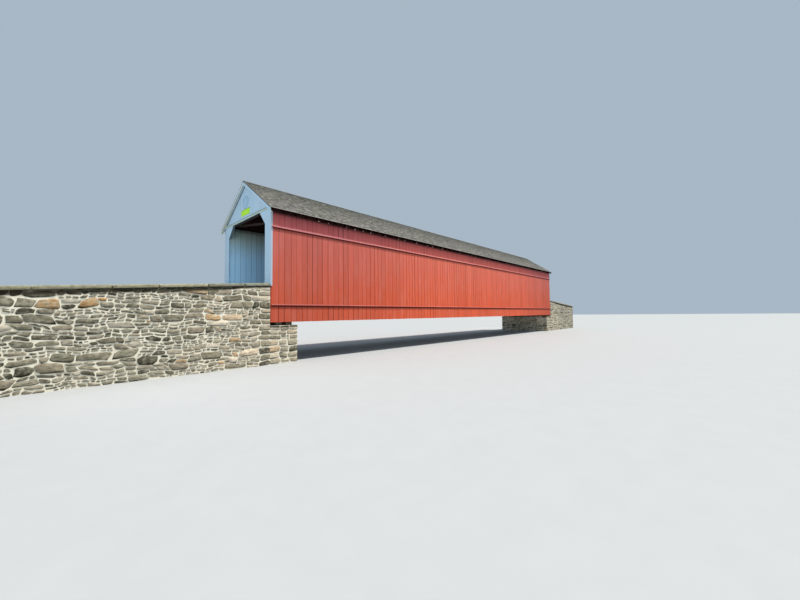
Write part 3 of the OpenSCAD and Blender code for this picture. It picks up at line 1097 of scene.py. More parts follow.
@dataclass(frozen=True)
class Rock:
    """Field stone: a tone for each stone, bedding streaks, grains, a split face, painted shade where low.

    shade is how far down the stones have painted shadow under a coping, half as far next to the
    bridge, and foot is how dark the painted shade along the lower edge of a stone is. clean is
    the tint of painted light on the stones near the bridge, with the two distances from its middle
    between which it comes on.
    """

    name: str
    tones: tuple[tuple[float, Colour], ...]
    dark: Colour
    speck: Colour
    shade: float = 0.0
    foot: float = 0.0
    clean: tuple[Colour, float, float] | None = None

    def material(self) -> bpy.types.Material:
        """Build the material from the stones' own tones and coordinates.

        Returns:
            The material.
        """
        recipe = Recipe(self.name)
        place = recipe.attribute("grain")
        tone, proud, second = recipe.split(recipe.attribute("piece"))
        _, below, under = recipe.split(recipe.attribute("ends"))
        colour = recipe.toned(self.tones, tone)
        colour = recipe.shaded(colour, second, 0.22)
        # Painted light: a tint on the stones near the bridge.
        if self.clean is not None:
            tint, far, near = self.clean
            length = recipe.split(recipe.place())[0]
            colour = recipe.mix(abs(length).step(far, near), colour, tint, "MULTIPLY")
            below = near_bridge(below, length)
        bed = recipe.noise(recipe.scaled(place, (0.25, 1.0, 1.0)), 45, 4, 0.6)
        cloud = recipe.noise(place, 14, 3, 0.6)
        grit = recipe.noise(place, 240, 2, 0.6)
        colour = recipe.mix(bed.step(0.40, 0.72) * 0.68, colour, self.dark)
        colour = recipe.mix(cloud.step(0.42, 0.76) * 0.60, colour, self.speck)
        colour = recipe.mix(grit.step(0.58, 0.72) * 0.25, colour, self.dark)
        # Painted shade where a stone is low, along its lower edge and under the coping.
        painted_shade = proud.step(0.55, 0.0) * 0.55 + proud.step(0.99, 0.5) * under * 0.9
        painted_shade = painted_shade + under.step(0.42, 0.92) * self.foot
        if self.shade:
            painted_shade = painted_shade + below.step(self.shade, 0.5 * self.shade) * 0.95
        colour = recipe.mix(painted_shade, colour, self.dark)
        normal = recipe.bump(grit, 0.0015, 0.6, recipe.bump(bed * 0.6 + cloud * 0.4, 0.006, 0.9))
        return recipe.finish(colour, 0.78 + 0.15 * grit, normal, 0.25)


@dataclass(frozen=True)
class Mortar:
    """Lime mortar, struck by hand: cream, sandy, stained in patches, with painted shade under copings and on
    seats.
    """

    name: str
    colour: Colour
    stain: Colour
    dirt: Colour

    def material(self, top: float, joint_x: float, fall: float, seat: float) -> bpy.types.Material:
        """Build the material from the row frame's own coordinates.

        Args:
            top: the height of a wing wall's top where it meets the bridge.
            joint_x: how far from the bridge's middle that is.
            fall: how much the wall's top falls in each metre.
            seat: the height of the seats under the bridge, whose tops have painted shade.

        Returns:
            The material.
        """
        recipe = Recipe(self.name)
        place = recipe.place()
        length, _, height = recipe.split(place)
        sand = recipe.noise(place, 320, 2, 0.6)
        lump = recipe.noise(place, 36, 4, 0.6)
        cloud = recipe.noise(place, 2.2, 4, 0.65)
        stained = cloud.step(0.40, 0.75) * 0.6 + lump.step(0.5, 0.8) * 0.35
        colour = recipe.mix(stained, self.colour, self.stain)
        colour = recipe.mix(sand.step(0.55, 0.75) * 0.3, colour, tuple(0.6 * c for c in self.stain))
        patch = recipe.noise(recipe.scaled(place, (0.6, 0.6, 1.0)), 9, 3, 0.6)
        colour = recipe.mix(patch.step(0.54, 0.68) * 0.6, colour, tuple(0.5 * c for c in self.stain))
        # Painted shadow under the coping, shorter next to the bridge.
        below = near_bridge(top + joint_x * fall - abs(length) * fall - height, length)
        colour = recipe.mix(below.step(0.12, 0.055) * 0.92, colour, self.dirt)
        # Painted shade on the seats' tops.
        on_seat = abs(height - seat).step(0.006, 0.003) * (0.55 + 0.4 * cloud)
        colour = recipe.mix(on_seat, colour, self.dirt)
        normal = recipe.bump(sand, 0.0012, 0.6, recipe.bump(lump, 0.006, 0.8))
        return recipe.finish(colour, 0.9, normal, 0.2)


@dataclass(frozen=True)
class PlatePaint:
    """Enamel on sheet metal: a fine orange peel, dusty, a painted shadow along its top, darker rings.

    top is the height of its upper edge, under which the painted shadow runs, and rings its centre's
    height and the rings' radii. glow is a painted glow: how much it shines in its own colour.
    """

    name: str
    colour: Colour
    dust: Colour
    line: Colour
    glow: float = 0.0
    top: float | None = None
    rings: tuple[float, tuple[float, ...]] | None = None

    def material(self) -> bpy.types.Material:
        """Build the material from the row frame's own coordinates.

        Returns:
            The material.
        """
        recipe = Recipe(self.name)
        place = recipe.place()
        _, y, z = recipe.split(place)
        peel = recipe.noise(place, 420, 2, 0.5)
        rain = recipe.noise(recipe.scaled(place, (1.0, 1.0, 0.12)), 60, 3, 0.6)
        cloud = recipe.noise(place, 9, 3, 0.6)
        dusty = rain.step(0.5, 0.8) * 0.4 + cloud.step(0.5, 0.8) * 0.3
        colour = recipe.mix(dusty, self.colour, self.dust)
        if self.top is not None:
            # Painted shadow line along the plate's top.
            colour = recipe.mix(z.step(self.top - 0.022, self.top - 0.006) * 0.8, colour, self.line)
        if self.rings is not None:
            height, radii = self.rings
            rise = z - height
            radius = (y * y + rise * rise).math("SQRT")
            for ring in radii:
                colour = recipe.mix(abs(radius - ring).step(0.014, 0.005) * 0.42, colour, self.line)
        # Painted glow in the plate's own colour.
        recipe.feed(recipe.shader.inputs["Emission Color"], self.colour)
        recipe.feed(recipe.shader.inputs["Emission Strength"], self.glow)
        return recipe.finish(colour, 0.42 + 0.3 * dusty, recipe.bump(peel, 0.0002, 0.5), 0.4)


# Painted shade towards the bridge's ends and painted light towards its middle, for the red paints.
END_SHADE = (0.79, 0.85, 1.02)
MIDDLE_LIGHT = (1.07, 1.07, 1.07)
# The red's dark colour serves both the grime in its joints and the painted shadow under the ledges.
RED = Paint("red_paint", srgb(217, 103, 82), srgb(219, 90, 54), srgb(224, 140, 122), srgb(100, 22, 8),
            fade=0.36, grime_and_shade=0.70, vary=0.065, weather=END_SHADE, sound=MIDDLE_LIGHT, ledge_shadow=0.11)
# A pinker copy of the red for the upper tier, as painted shade under the eaves.
EAVE_SHADE_RED = Paint("eave_paint", srgb(216, 102, 92), srgb(216, 102, 92), srgb(222, 138, 130),
                 srgb(58, 24, 28), fade=0.33, grime_and_shade=0.62, weather=END_SHADE, sound=MIDDLE_LIGHT, eave=0.26)
# The ledges' undersides get a strong painted shade.
LEDGE_RED = Paint("ledge_paint", srgb(188, 104, 98), srgb(180, 82, 66), srgb(208, 134, 124),
                  srgb(64, 20, 20), fade=0.4, grime_and_shade=0.3, weather=END_SHADE, sound=MIDDLE_LIGHT, under=0.85)
# The portal paints below are white paint given pale blue-grey, as painted skylit shade.
BLUE = Paint("portal_paint", srgb(154, 180, 199), srgb(152, 177, 200), srgb(174, 195, 210),
             srgb(66, 78, 74), fade=0.4, grime_and_shade=0.35, vary=0.03,
             reveal=(PORTAL_X, Box.of("near_portal_corners").low[2]))
# The moulding's dark line is a painted shadow under the foot of the gable boards.
TRIM_BLUE = Paint("trim_paint", srgb(154, 182, 198), srgb(168, 182, 174), srgb(174, 195, 210),
                  srgb(30, 38, 34), heights=(3.744, 3.752), fade=0.4, grime_and_shade=0.35, line=3.750)
RAKE_BLUE = Paint("front_rake_paint", srgb(154, 180, 199), srgb(152, 177, 200), srgb(174, 195, 210),
                  srgb(78, 92, 92), fade=0.4, grime_and_shade=0.35, vary=0.03)
CORNER_PALE = Paint("corner_paint", srgb(178, 190, 206), srgb(176, 186, 202), srgb(196, 202, 212),
                    srgb(116, 122, 128), fade=0.4, grime_and_shade=0.3, vary=0.03)
# Grey-green as painted reflected light from below, on the back rake plank and the soffit boards.
BOUNCE_LIT_GREY = Paint("rake_paint", srgb(166, 184, 190), srgb(170, 176, 166), srgb(188, 194, 188),
                  srgb(80, 86, 82), heights=(3.7, 4.6), fade=0.6, grime_and_shade=0.6)
# The lining has painted shade: dark greenish-grey towards its top and darker deeper into the passage.
LINING_BLUE = Paint("lining_paint", srgb(132, 138, 120), srgb(144, 176, 194), srgb(164, 188, 200),
                    srgb(50, 46, 40), heights=(2.75, 3.65), fade=0.3, grime_and_shade=0.6, vary=0.07,
                    weather=(1.12, 1.12, 1.12), sound=(0.66, 0.66, 0.68), span=(0.0, 7.9, 9.2), eave=0.42)
# The truss timber turns near black above the eaves' level: painted shade.
TRUSS_WOOD = SawnWood("truss_wood", srgb(92, 72, 54), srgb(58, 44, 33), srgb(116, 100, 80),
                      eave_shade=(srgb(58, 24, 24), EAVE_Z))
# Near black as painted shade: the ties and braces in the roof space.
BRACE_WOOD = SawnWood("brace_wood", srgb(52, 38, 34), srgb(28, 21, 20), srgb(70, 56, 48))
# Dark red-brown like the roof wood, as painted shade under the eaves.
RAIL_WOOD = SawnWood("rail_wood", srgb(46, 22, 20), srgb(28, 13, 12), srgb(62, 36, 32), gloss=0.03)
FLOOR_WOOD = SawnWood("floor_wood", srgb(98, 84, 68), srgb(62, 52, 42), srgb(126, 114, 98))
DECK_WOOD = SawnWood("deck_wood", srgb(124, 113, 98), srgb(86, 76, 64), srgb(152, 142, 127))
# Dark red-brown as painted shade: rafters and lath in the eaves' shadow.
ROOF_WOOD = SawnWood("roof_wood", srgb(44, 20, 18), srgb(26, 12, 12), srgb(60, 34, 30), gloss=0.03)
RIDGE_WOOD = SawnWood("ridge_wood", srgb(96, 96, 92), srgb(64, 63, 60), srgb(122, 122, 116))
# Pale caps as a painted highlight: the sunlit lower tips of the rafter tails.
SUNLIT_TIP_WOOD = SawnWood("end_grain", srgb(168, 148, 136), srgb(112, 90, 80), srgb(198, 184, 172),
                    vary=0.5, checks=0.3)
SHINGLES = Weathered(
    "shingle_wood",
    ((0.0, srgb(82, 81, 76)), (0.2, srgb(96, 96, 90)), (0.5, srgb(108, 109, 102)),
     (0.75, srgb(117, 117, 110)), (0.93, srgb(127, 126, 120)), (1.0, srgb(142, 140, 134))),
    moss=srgb(98, 112, 88), lilac=srgb(126, 116, 128), pale=srgb(176, 172, 166), dark=srgb(46, 44, 41),
    bed=srgb(34, 16, 15), rake=Box.of("front_roof").high[0], bleached=((1.46, 1.42, 1.45), 4.65, 3.95),
)
FIELD_STONE = Rock(
    "field_stone",
    ((0.0, srgb(64, 61, 48)), (0.12, srgb(94, 90, 73)), (0.30, srgb(126, 120, 101)),
     (0.46, srgb(146, 141, 120)), (0.60, srgb(160, 147, 124)), (0.72, srgb(134, 125, 107)),
     (0.84, srgb(172, 163, 142)), (0.95, srgb(188, 179, 161)), (0.975, srgb(178, 152, 116)),
     (1.0, srgb(184, 138, 82))),
    dark=srgb(38, 33, 17), speck=srgb(196, 187, 166), shade=0.12, foot=0.80,
    clean=((1.66, 1.60, 1.59), 11.8, 9.6),
)
# The copings get a bluish painted light next to the portals.
COPING_STONE = Rock(
    "coping_slabs",
    ((0.0, srgb(152, 147, 120)), (0.5, srgb(162, 157, 130)), (1.0, srgb(172, 166, 139))),
    dark=srgb(100, 96, 74), speck=srgb(184, 178, 152), clean=((0.91, 1.0, 1.18), 10.5, 9.9),
)
MORTAR = Mortar("lime_mortar", srgb(246, 239, 218), srgb(212, 203, 180), srgb(44, 44, 26))
YELLOW_PLATE = PlatePaint("yellow_enamel", srgb(158, 210, 8), srgb(138, 170, 56), srgb(78, 90, 78),
                          glow=0.04, top=Box.of("clearance_plate").high[2])
# Blue-grey as painted skylit shade on a white plate.
GREY_PLATE = PlatePaint("grey_enamel", srgb(146, 176, 198), srgb(134, 158, 176), srgb(116, 140, 166),
                        rings=(Box.of("round_plate").middle[2], (0.156, 0.085)))


def coat(material: bpy.types.Material, *nodes: str) -> None:
    """Put a material on every slot of some CAD nodes.

    Args:
        material: the finish.
        nodes: the nodes' names.
    """
    for name in nodes:
        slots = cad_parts[name].data.materials
        slots.clear()
        slots.append(material)


# Sub-assemblies


@dataclass
class Stonework:
    """Abutments and wing walls of rubble, with slabs on the wing walls and on the abutments."""

    masonry: Masonry = field(default_factory=Masonry)
    slab_length: float = 0.75
    slab_gap: float = 0.0015
    slab_points: int = 20
    arris: float = 0.005
    inset: float = 0.004
    sill_t: float = 0.03
    sill_up: float = 0.004
    sill_out: float = 0.012
    warm_spots: Spots = (
        (-12.75, 1.41, 0.985), (-12.32, 1.45, 0.99), (-12.12, 1.46, 1.0), (-11.49, 1.05, 0.99),
        (-10.75, 1.64, 0.975), (-10.32, 1.24, 0.98))

    def build(self) -> None:
        """Lay the stones on the walls' faces and the slabs on their tops."""
        joint_x, seat = Box.of("far_front_wing_wall").low[0], Box.of("bed_timbers").low[2]
        mortar = MORTAR.material(WALL_TOP, joint_x, self.fall(End.FAR), seat)
        stone = FIELD_STONE.material()
        coping = COPING_STONE.material()
        for end in End:
            coat(mortar, f"{end}_abutment", f"{end}_front_wing_wall", f"{end}_back_wing_wall")
            self.abutment_stones(end).to_object(f"{end}_abutment_stones", stone, "stonework", True)
            for side in Side:
                self.wall_stones(end, side).to_object(f"{end}_{side}_wall_stones", stone, "stonework", True)
            slabs = Shape.join([self.slabs(end, side) for side in Side])
            slabs = slabs.to_object(f"{end}_coping_slabs", coping, "coping_stone", True)
            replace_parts(slabs, f"{end}_copings")
            self.sill(end).to_object(f"{end}_sill_slabs", coping, "coping_stone", True)

    @staticmethod
    def fall(end: End) -> float:
        """Return how much a wing wall's top falls in each metre, from the box of its coping."""
        coping = Box.of(f"{end}_copings")
        return (WALL_TOP - coping.low[2]) / coping.size[0]

    def wall_stones(self, end: End, side: Side) -> Shape:
        """Lay the stones of a wing wall's outer, inner and end faces.

        Args:
            end: the wall's end of the bridge.
            side: its side of the bridge.

        Returns:
            The stones as one shape.
        """
        box, abutment = Box.of(f"{end}_{side}_wing_wall"), Box.of(f"{end}_abutment")
        (joint_x, end_x), (inner_y, outer_y) = box.span(0), box.span(1)
        high, low = (box.high[2] - abs(x - joint_x) * self.fall(end) for x in (joint_x, end_x))
        buried = (abs(abutment.span(0)[1]), abutment.high[2])
        faces = (
            Face.between((joint_x, outer_y), (end_x, outer_y), (0, side), (high, low)),
            Face.between((joint_x, inner_y), (end_x, inner_y), (0, -side), (high, low), buried),
            Face.between((end_x, inner_y), (end_x, outer_y), (end, 0), (low, low)),
        )
        seed = 110 - 10 * end + 3 * side
        spots = self.warm_spots if (end, side) == (End.NEAR, Side.FRONT) else ()
        return Shape.join([self.masonry.lay(face, seed + 100 * i, i % 2, () if i else spots)
                           for i, face in enumerate(faces)])

    def abutment_stones(self, end: End) -> Shape:
        """Lay the stones of an abutment's inner face, under the bridge, its two sides and its outer face.

        Args:
            end: the abutment's end of the bridge.

        Returns:
            The stones as one shape.
        """
        box, seat = Box.of(f"{end}_abutment"), Box.of("bed_timbers").low[2]
        front, back = (Box.of(f"{end}_{side}_wing_wall") for side in Side)
        joint_x, (inner_x, outer_x) = front.span(0)[0], box.span(0)
        front_y, back_y, top = box.low[1], box.high[1], box.high[2]
        faces = (
            Face.between((inner_x, front_y), (inner_x, back_y), (-end, 0), (seat, seat)),
            Face.between((joint_x, front_y), (inner_x, front_y), (0, -1), (seat, seat)),
            Face.between((joint_x, back_y), (inner_x, back_y), (0, 1), (seat, seat)),
            Face.between((outer_x, front.high[1]), (outer_x, back.low[1]), (end, 0), (top, top)),
        )
        seed = 320 - 20 * end
        return Shape.join([self.masonry.lay(face, seed + i, i % 2) for i, face in enumerate(faces)])

    def slabs(self, end: End, side: Side) -> Shape:
        """Lay a row of coping slabs down the top of a wing wall.

        Args:
            end: the wall's end of the bridge.
            side: its side of the bridge.

        Returns:
            The slabs as one shape.
        """
        row, wall = Box.of(f"{end}_copings"), Box.of(f"{end}_{side}_wing_wall")
        half_y = row.high[1] - abs(wall.span(1)[1]) + wall.size[1] / 2
        start, middle, top, fall = row.span(0)[0], wall.middle[1], wall.high[2], self.fall(end)
        seed = 535 - (end + 7 * side) // 2
        return self.plates(row.size[0], half_y, row.high[2] - top, seed, lambda x, y, z: (
            start + end * x, middle - end * y, top - fall * x + z))

    def sill(self, end: End) -> Shape:
        """Lay a row of worn slabs between two wing walls, on the outer edge of an abutment.

        Args:
            end: the abutment's end of the bridge.

        Returns:
            The slabs as one shape.
        """
        box = Box.of(f"{end}_abutment")
        front, back = (Box.of(f"{end}_{side}_wing_wall") for side in Side)
        joint_x = front.span(0)[0]
        outer_x = box.span(0)[1] + end * self.sill_out
        foot = box.high[2] + self.sill_up - self.sill_t
        width, seed = back.low[1] - front.high[1], (1087 - end) // 2
        return self.plates(width, abs(outer_x - joint_x) / 2, self.sill_t, seed, lambda x, y, z: (
            (joint_x + outer_x) / 2 + y, front.high[1] + x, foot + z))

    def plates(self, length: float, half_y: float, thick: float, seed: int,
               place: Callable[[np.ndarray, np.ndarray, np.ndarray], tuple]) -> Shape:
        """Cut a row of rounded plates with hand-cut edges.

        A plate's outline is a rounded rectangle, |x|^8 + |y|^8 = 1 in its own units. Rings at its
        foot, its lower edge, its upper edge and drawn in on top make the plate.

        Args:
            length: the length of the row.
            half_y: half its width.
            thick: its thickness.
            seed: the start of its random numbers.
            place: turns places along the row, across it and above its foot into x, y and z.

        Returns:
            The plates as one shape.
        """
        rng = np.random.default_rng(seed)
        cuts = spread(0, length, self.slab_length, rng, 0.25)
        count, points = len(cuts) - 1, self.slab_points
        x, y = oval(points, 0.25)
        middle = ((cuts[1:] + cuts[:-1]) / 2)[:, None]
        half_x = ((np.diff(cuts) - self.slab_gap) / 2)[:, None]
        u = middle + half_x * x - np.abs(rng.normal(0, 0.0008, (count, points))) * x
        v = half_y * y - np.abs(rng.normal(0, 0.0025, (count, points))) * y
        settle = rng.uniform(0, 0.0025, (count, 1))
        rings = [
            np.stack([u - inset * x, v - inset * y, height - settle * (height > thick / 2) + 0 * u], -1)
            for inset, height in ((self.inset, 0.0), (0.0, self.arris), (0.0, thick - self.arris),
                                  (self.inset, thick))
        ]
        centres = [np.stack([middle, 0 * middle, height], -1) for height in (thick - settle, 0 * settle)]
        local = np.concatenate([*rings, *centres], 1)
        world = np.stack(place(*np.moveaxis(local, -1, 0)), -1)

        tones = rng.uniform(0, 1, (2, count, 1))
        lid = np.ones(local.shape[:2])
        lid[:, 3 * points:-1] = 0.2
        height = local[..., 2]
        faces = [np.roll(group[:, ::-1], 1, 1) for group in ring_faces(count, len(rings), points, 2)]
        return Shape(world, faces, local + rng.uniform(0, GRAIN_SHIFT, (count, 1, 3)), tagged(tones, lid),
                     np.stack([height, 1 + 0 * height, 0 * height], -1))


@dataclass
class Trusses:
    """Two plank lattice trusses: crossed planks pinned together, between chords of lapped planks."""

    panels: int = 30
    run: int = 3
    plank_w: float = 0.14
    chord_h: float = 0.14
    chord_plank: float = 3.66
    pin_r: float = 0.016
    pin_out: float = 0.007
    pin_points: int = 8
    pin_clear: float = 0.06
    on_chord: tuple[tuple[float, float], ...] = ((-0.05, -0.03), (0.05, 0.03), (-0.05, 0.03), (0.05, -0.03))
    on_crossing: tuple[tuple[float, float], ...] = ((-0.022, 0.0), (0.022, 0.0))
    play: float = 0.0005
    chord_play: float = 0.0004
    butt_gap: float = 0.003
    chamfer: float = 0.004

    def build(self) -> None:
        """Build the planks, chords and pins of both trusses and dress their posts."""
        wood = TRUSS_WOOD.material()
        for side in Side:
            lattice = self.lattice(side).to_object(f"{side}_lattice_planks", wood, "truss_timber")
            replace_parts(lattice, f"{side}_lattice")
            chords = self.chords(side).to_object(f"{side}_chord_planks", wood, "truss_timber")
            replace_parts(chords, f"{side}_chords")
            self.pins(side).to_object(f"{side}_truss_pins", wood, "truss_timber")
        coat(TRUSS_WOOD.material(Grain.ALONG_Z), "end_posts")

    @property
    def panel(self) -> float:
        """Return the spacing of the lattice planks along the bridge."""
        return (PORTAL_X - Box.of("near_gable").low[0]) / self.panels

    def levels(self, box: Box) -> np.ndarray:
        """Return the heights at which the lattice planks cross, from chord to chord."""
        rise = box.size[2] - self.chord_h
        return box.low[2] + self.chord_h / 2 + np.linspace(0, rise, 2 * self.run + 1)

    def lattice(self, side: Side) -> Shape:
        """Cut and cross the lattice planks.

        A plank's line passes through the middle of the bottom chord at every panel, and its ends
        are cut along the chords' outer edges and the end posts.

        Args:
            side: the truss's side of the bridge.

        Returns:
            Both layers of planks as one shape.
        """
        rng = np.random.default_rng(41 + side)
        box = Box.of(f"{side}_lattice")
        levels = self.levels(box)
        thick = box.size[1] / 2
        number = np.arange(1 - self.run, self.panels)
        shapes = []
        for lean in (1, -1):
            angle = math.atan2(levels[-1] - levels[0], self.run * self.panel * lean)
            along = np.array([math.cos(angle), 0, math.sin(angle)])
            across = np.array([math.sin(angle), 0, -math.cos(angle)])
            y = side * (abs(box.middle[1]) + lean * thick / 2)
            centre = np.outer(lean * (number - self.panels / 2) * self.panel, X) + [0, y, levels[0]]
            planks = Timbers(centre, along, across, self.plank_w / 2, thick / 2 - self.play, self.chamfer)
            v = planks.outline()[..., 0]
            ends_z = [(z - levels[0] - v * across[2]) / along[2] for z in (box.low[2], box.high[2])]
            ends_x = [(x - centre[:, :1] - v * across[0]) / along[0] for x in (box.low[0], box.high[0])]
            low = np.maximum(np.minimum(*ends_z), np.minimum(*ends_x))
            high = np.minimum(np.maximum(*ends_z), np.maximum(*ends_x))
            shapes.append(planks.shape(low, np.maximum(high, low + 0.001), rng, 3))
        return Shape.join(shapes)

    def chords(self, side: Side) -> Shape:
        """Lap the planks of the chords in two layers on each face of the lattice.

        Args:
            side: the truss's side of the bridge.

        Returns:
            The planks as one shape.
        """
        rng = np.random.default_rng(51 + side)
        box, core = Box.of(f"{side}_chords"), Box.of(f"{side}_lattice")
        half = (box.size[1] - core.size[1]) / 4
        rows = []
        for layer, edge in enumerate((box.low[1], box.low[1] + half, core.high[1], core.high[1] + half)):
            for level, z in enumerate(self.levels(box)[[0, 1, -2, -1]]):
                shift = (0.0 if (layer + level) % 2 else 0.5) * self.chord_plank
                cuts = np.arange(box.low[0] + shift, box.high[0] - 0.5, self.chord_plank)
                cuts = np.unique(np.concatenate([[box.low[0]], cuts, [box.high[0]]]))
                rows += [(a, b, edge + half / 2, z) for a, b in zip(cuts, cuts[1:])]
        start, end, y, z = np.array(rows).T
        centre = np.stack([(start + end) / 2, y, z], -1)
        planks = Timbers(centre, X, Z, self.chord_h / 2, half / 2 - self.chord_play, self.chamfer)
        reach = (end - start - self.butt_gap) / 2
        return planks.shape(-reach, reach, rng, 3)

    def pins(self, side: Side) -> Shape:
        """Drive wooden pins through every crossing: four on a chord, two where planks only cross.

        A pin's head is a circle of a few points, carried out of the wood and drawn in at its end.

        Args:
            side: the truss's side of the bridge.

        Returns:
            The pins' heads on the truss's inner face as one shape.
        """
        rng = np.random.default_rng(61 + side)
        box, core = Box.of(f"{side}_chords"), Box.of(f"{side}_lattice")
        levels = self.levels(box)
        spots = []
        for level, height in enumerate(levels):
            chord = level in (0, 1, len(levels) - 2, len(levels) - 1)
            x = np.arange(-self.panels, self.panels + 1) * self.panel / 2
            x = x[(np.arange(len(x)) + level + self.panels) % 2 == 0]
            x = x[np.abs(x) < core.high[0] - self.pin_clear]
            y = abs((box if chord else core).span(1)[0])
            for aside, up in self.on_chord if chord else self.on_crossing:
                spots.append(np.outer(x + aside, X) + [0, y, height + up])
        spots = np.concatenate(spots)
        spots[:, [0, 2]] += rng.normal(0, 0.002, (len(spots), 2))
        count, points = len(spots), self.pin_points
        angle = 2 * np.pi * np.arange(points) / points
        radius = self.pin_r * rng.uniform(0.9, 1.05, (count, 1))
        out = self.pin_out * rng.uniform(0.5, 1.0, (count, 1))
        x, y, z = (spots[:, [axis]] for axis in range(3))
        rings = [
            np.stack([x + radius * share * np.cos(angle), side * (y - push) + 0 * angle,
                      z + side * radius * share * np.sin(angle)], -1)
            for share, push in ((1.0, -0.004), (1.0, 0.7 * out), (0.8, out))
        ]
        world = np.concatenate(rings, 1)
        flat = 0 * world[..., 0]
        tones = rng.uniform(0, 1, (2, count, 1))
        grain = world[..., [1, 0, 2]] + rng.uniform(0, GRAIN_SHIFT, (count, 1, 3))
        return Shape(world, ring_faces(count, len(rings), points), grain, tagged(tones, flat), 0 * world)


@dataclass
class Floor:
    """Bed timbers, floor beams, stringers and crossed braces, under a deck of planks laid across."""

    plank_w: float = 0.135
    gap: float = 0.004
    wear: float = 0.0015
    chamfer: float = 0.004
    end_cut: float = 0.015

    def build(self) -> None:
        """Lay the deck's planks and dress the timbers below them."""
        rng = np.random.default_rng(81)
        box = Box.of("deck")
        edges = spread(box.low[0], box.high[0], self.plank_w, rng, 0.08)
        count = len(edges) - 1
        centre = np.outer((edges[1:] + edges[:-1]) / 2, X) + Z * box.middle[2]
        half_t = box.size[2] / 2 - rng.uniform(0, self.wear, count)
        planks = Timbers(centre, Y, X, (np.diff(edges) - self.gap) / 2, half_t, self.chamfer)
        reach = np.full(count, box.high[1])
        reach[[0, -1]] -= self.end_cut
        boards = planks.shape(-reach, reach, rng, 3)
        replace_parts(boards.to_object("deck_boards", DECK_WOOD.material(), "deck_planks"), "deck")
        coat(FLOOR_WOOD.material(Grain.ALONG_Y), "floor_beams", "bed_timbers")
        coat(FLOOR_WOOD.material(Grain.ALONG_X), "stringers", "bottom_braces")


@dataclass
class Bracing:
    """Tie beams, knee braces and crossed braces under the roof."""

    def build(self) -> None:
        """Dress the timbers."""
        coat(BRACE_WOOD.material(Grain.ALONG_Y), "tie_beams", "knee_braces")
        coat(BRACE_WOOD.material(Grain.ALONG_X), "top_braces")
        coat(RAIL_WOOD.material(Grain.ALONG_X), "siding_rails")


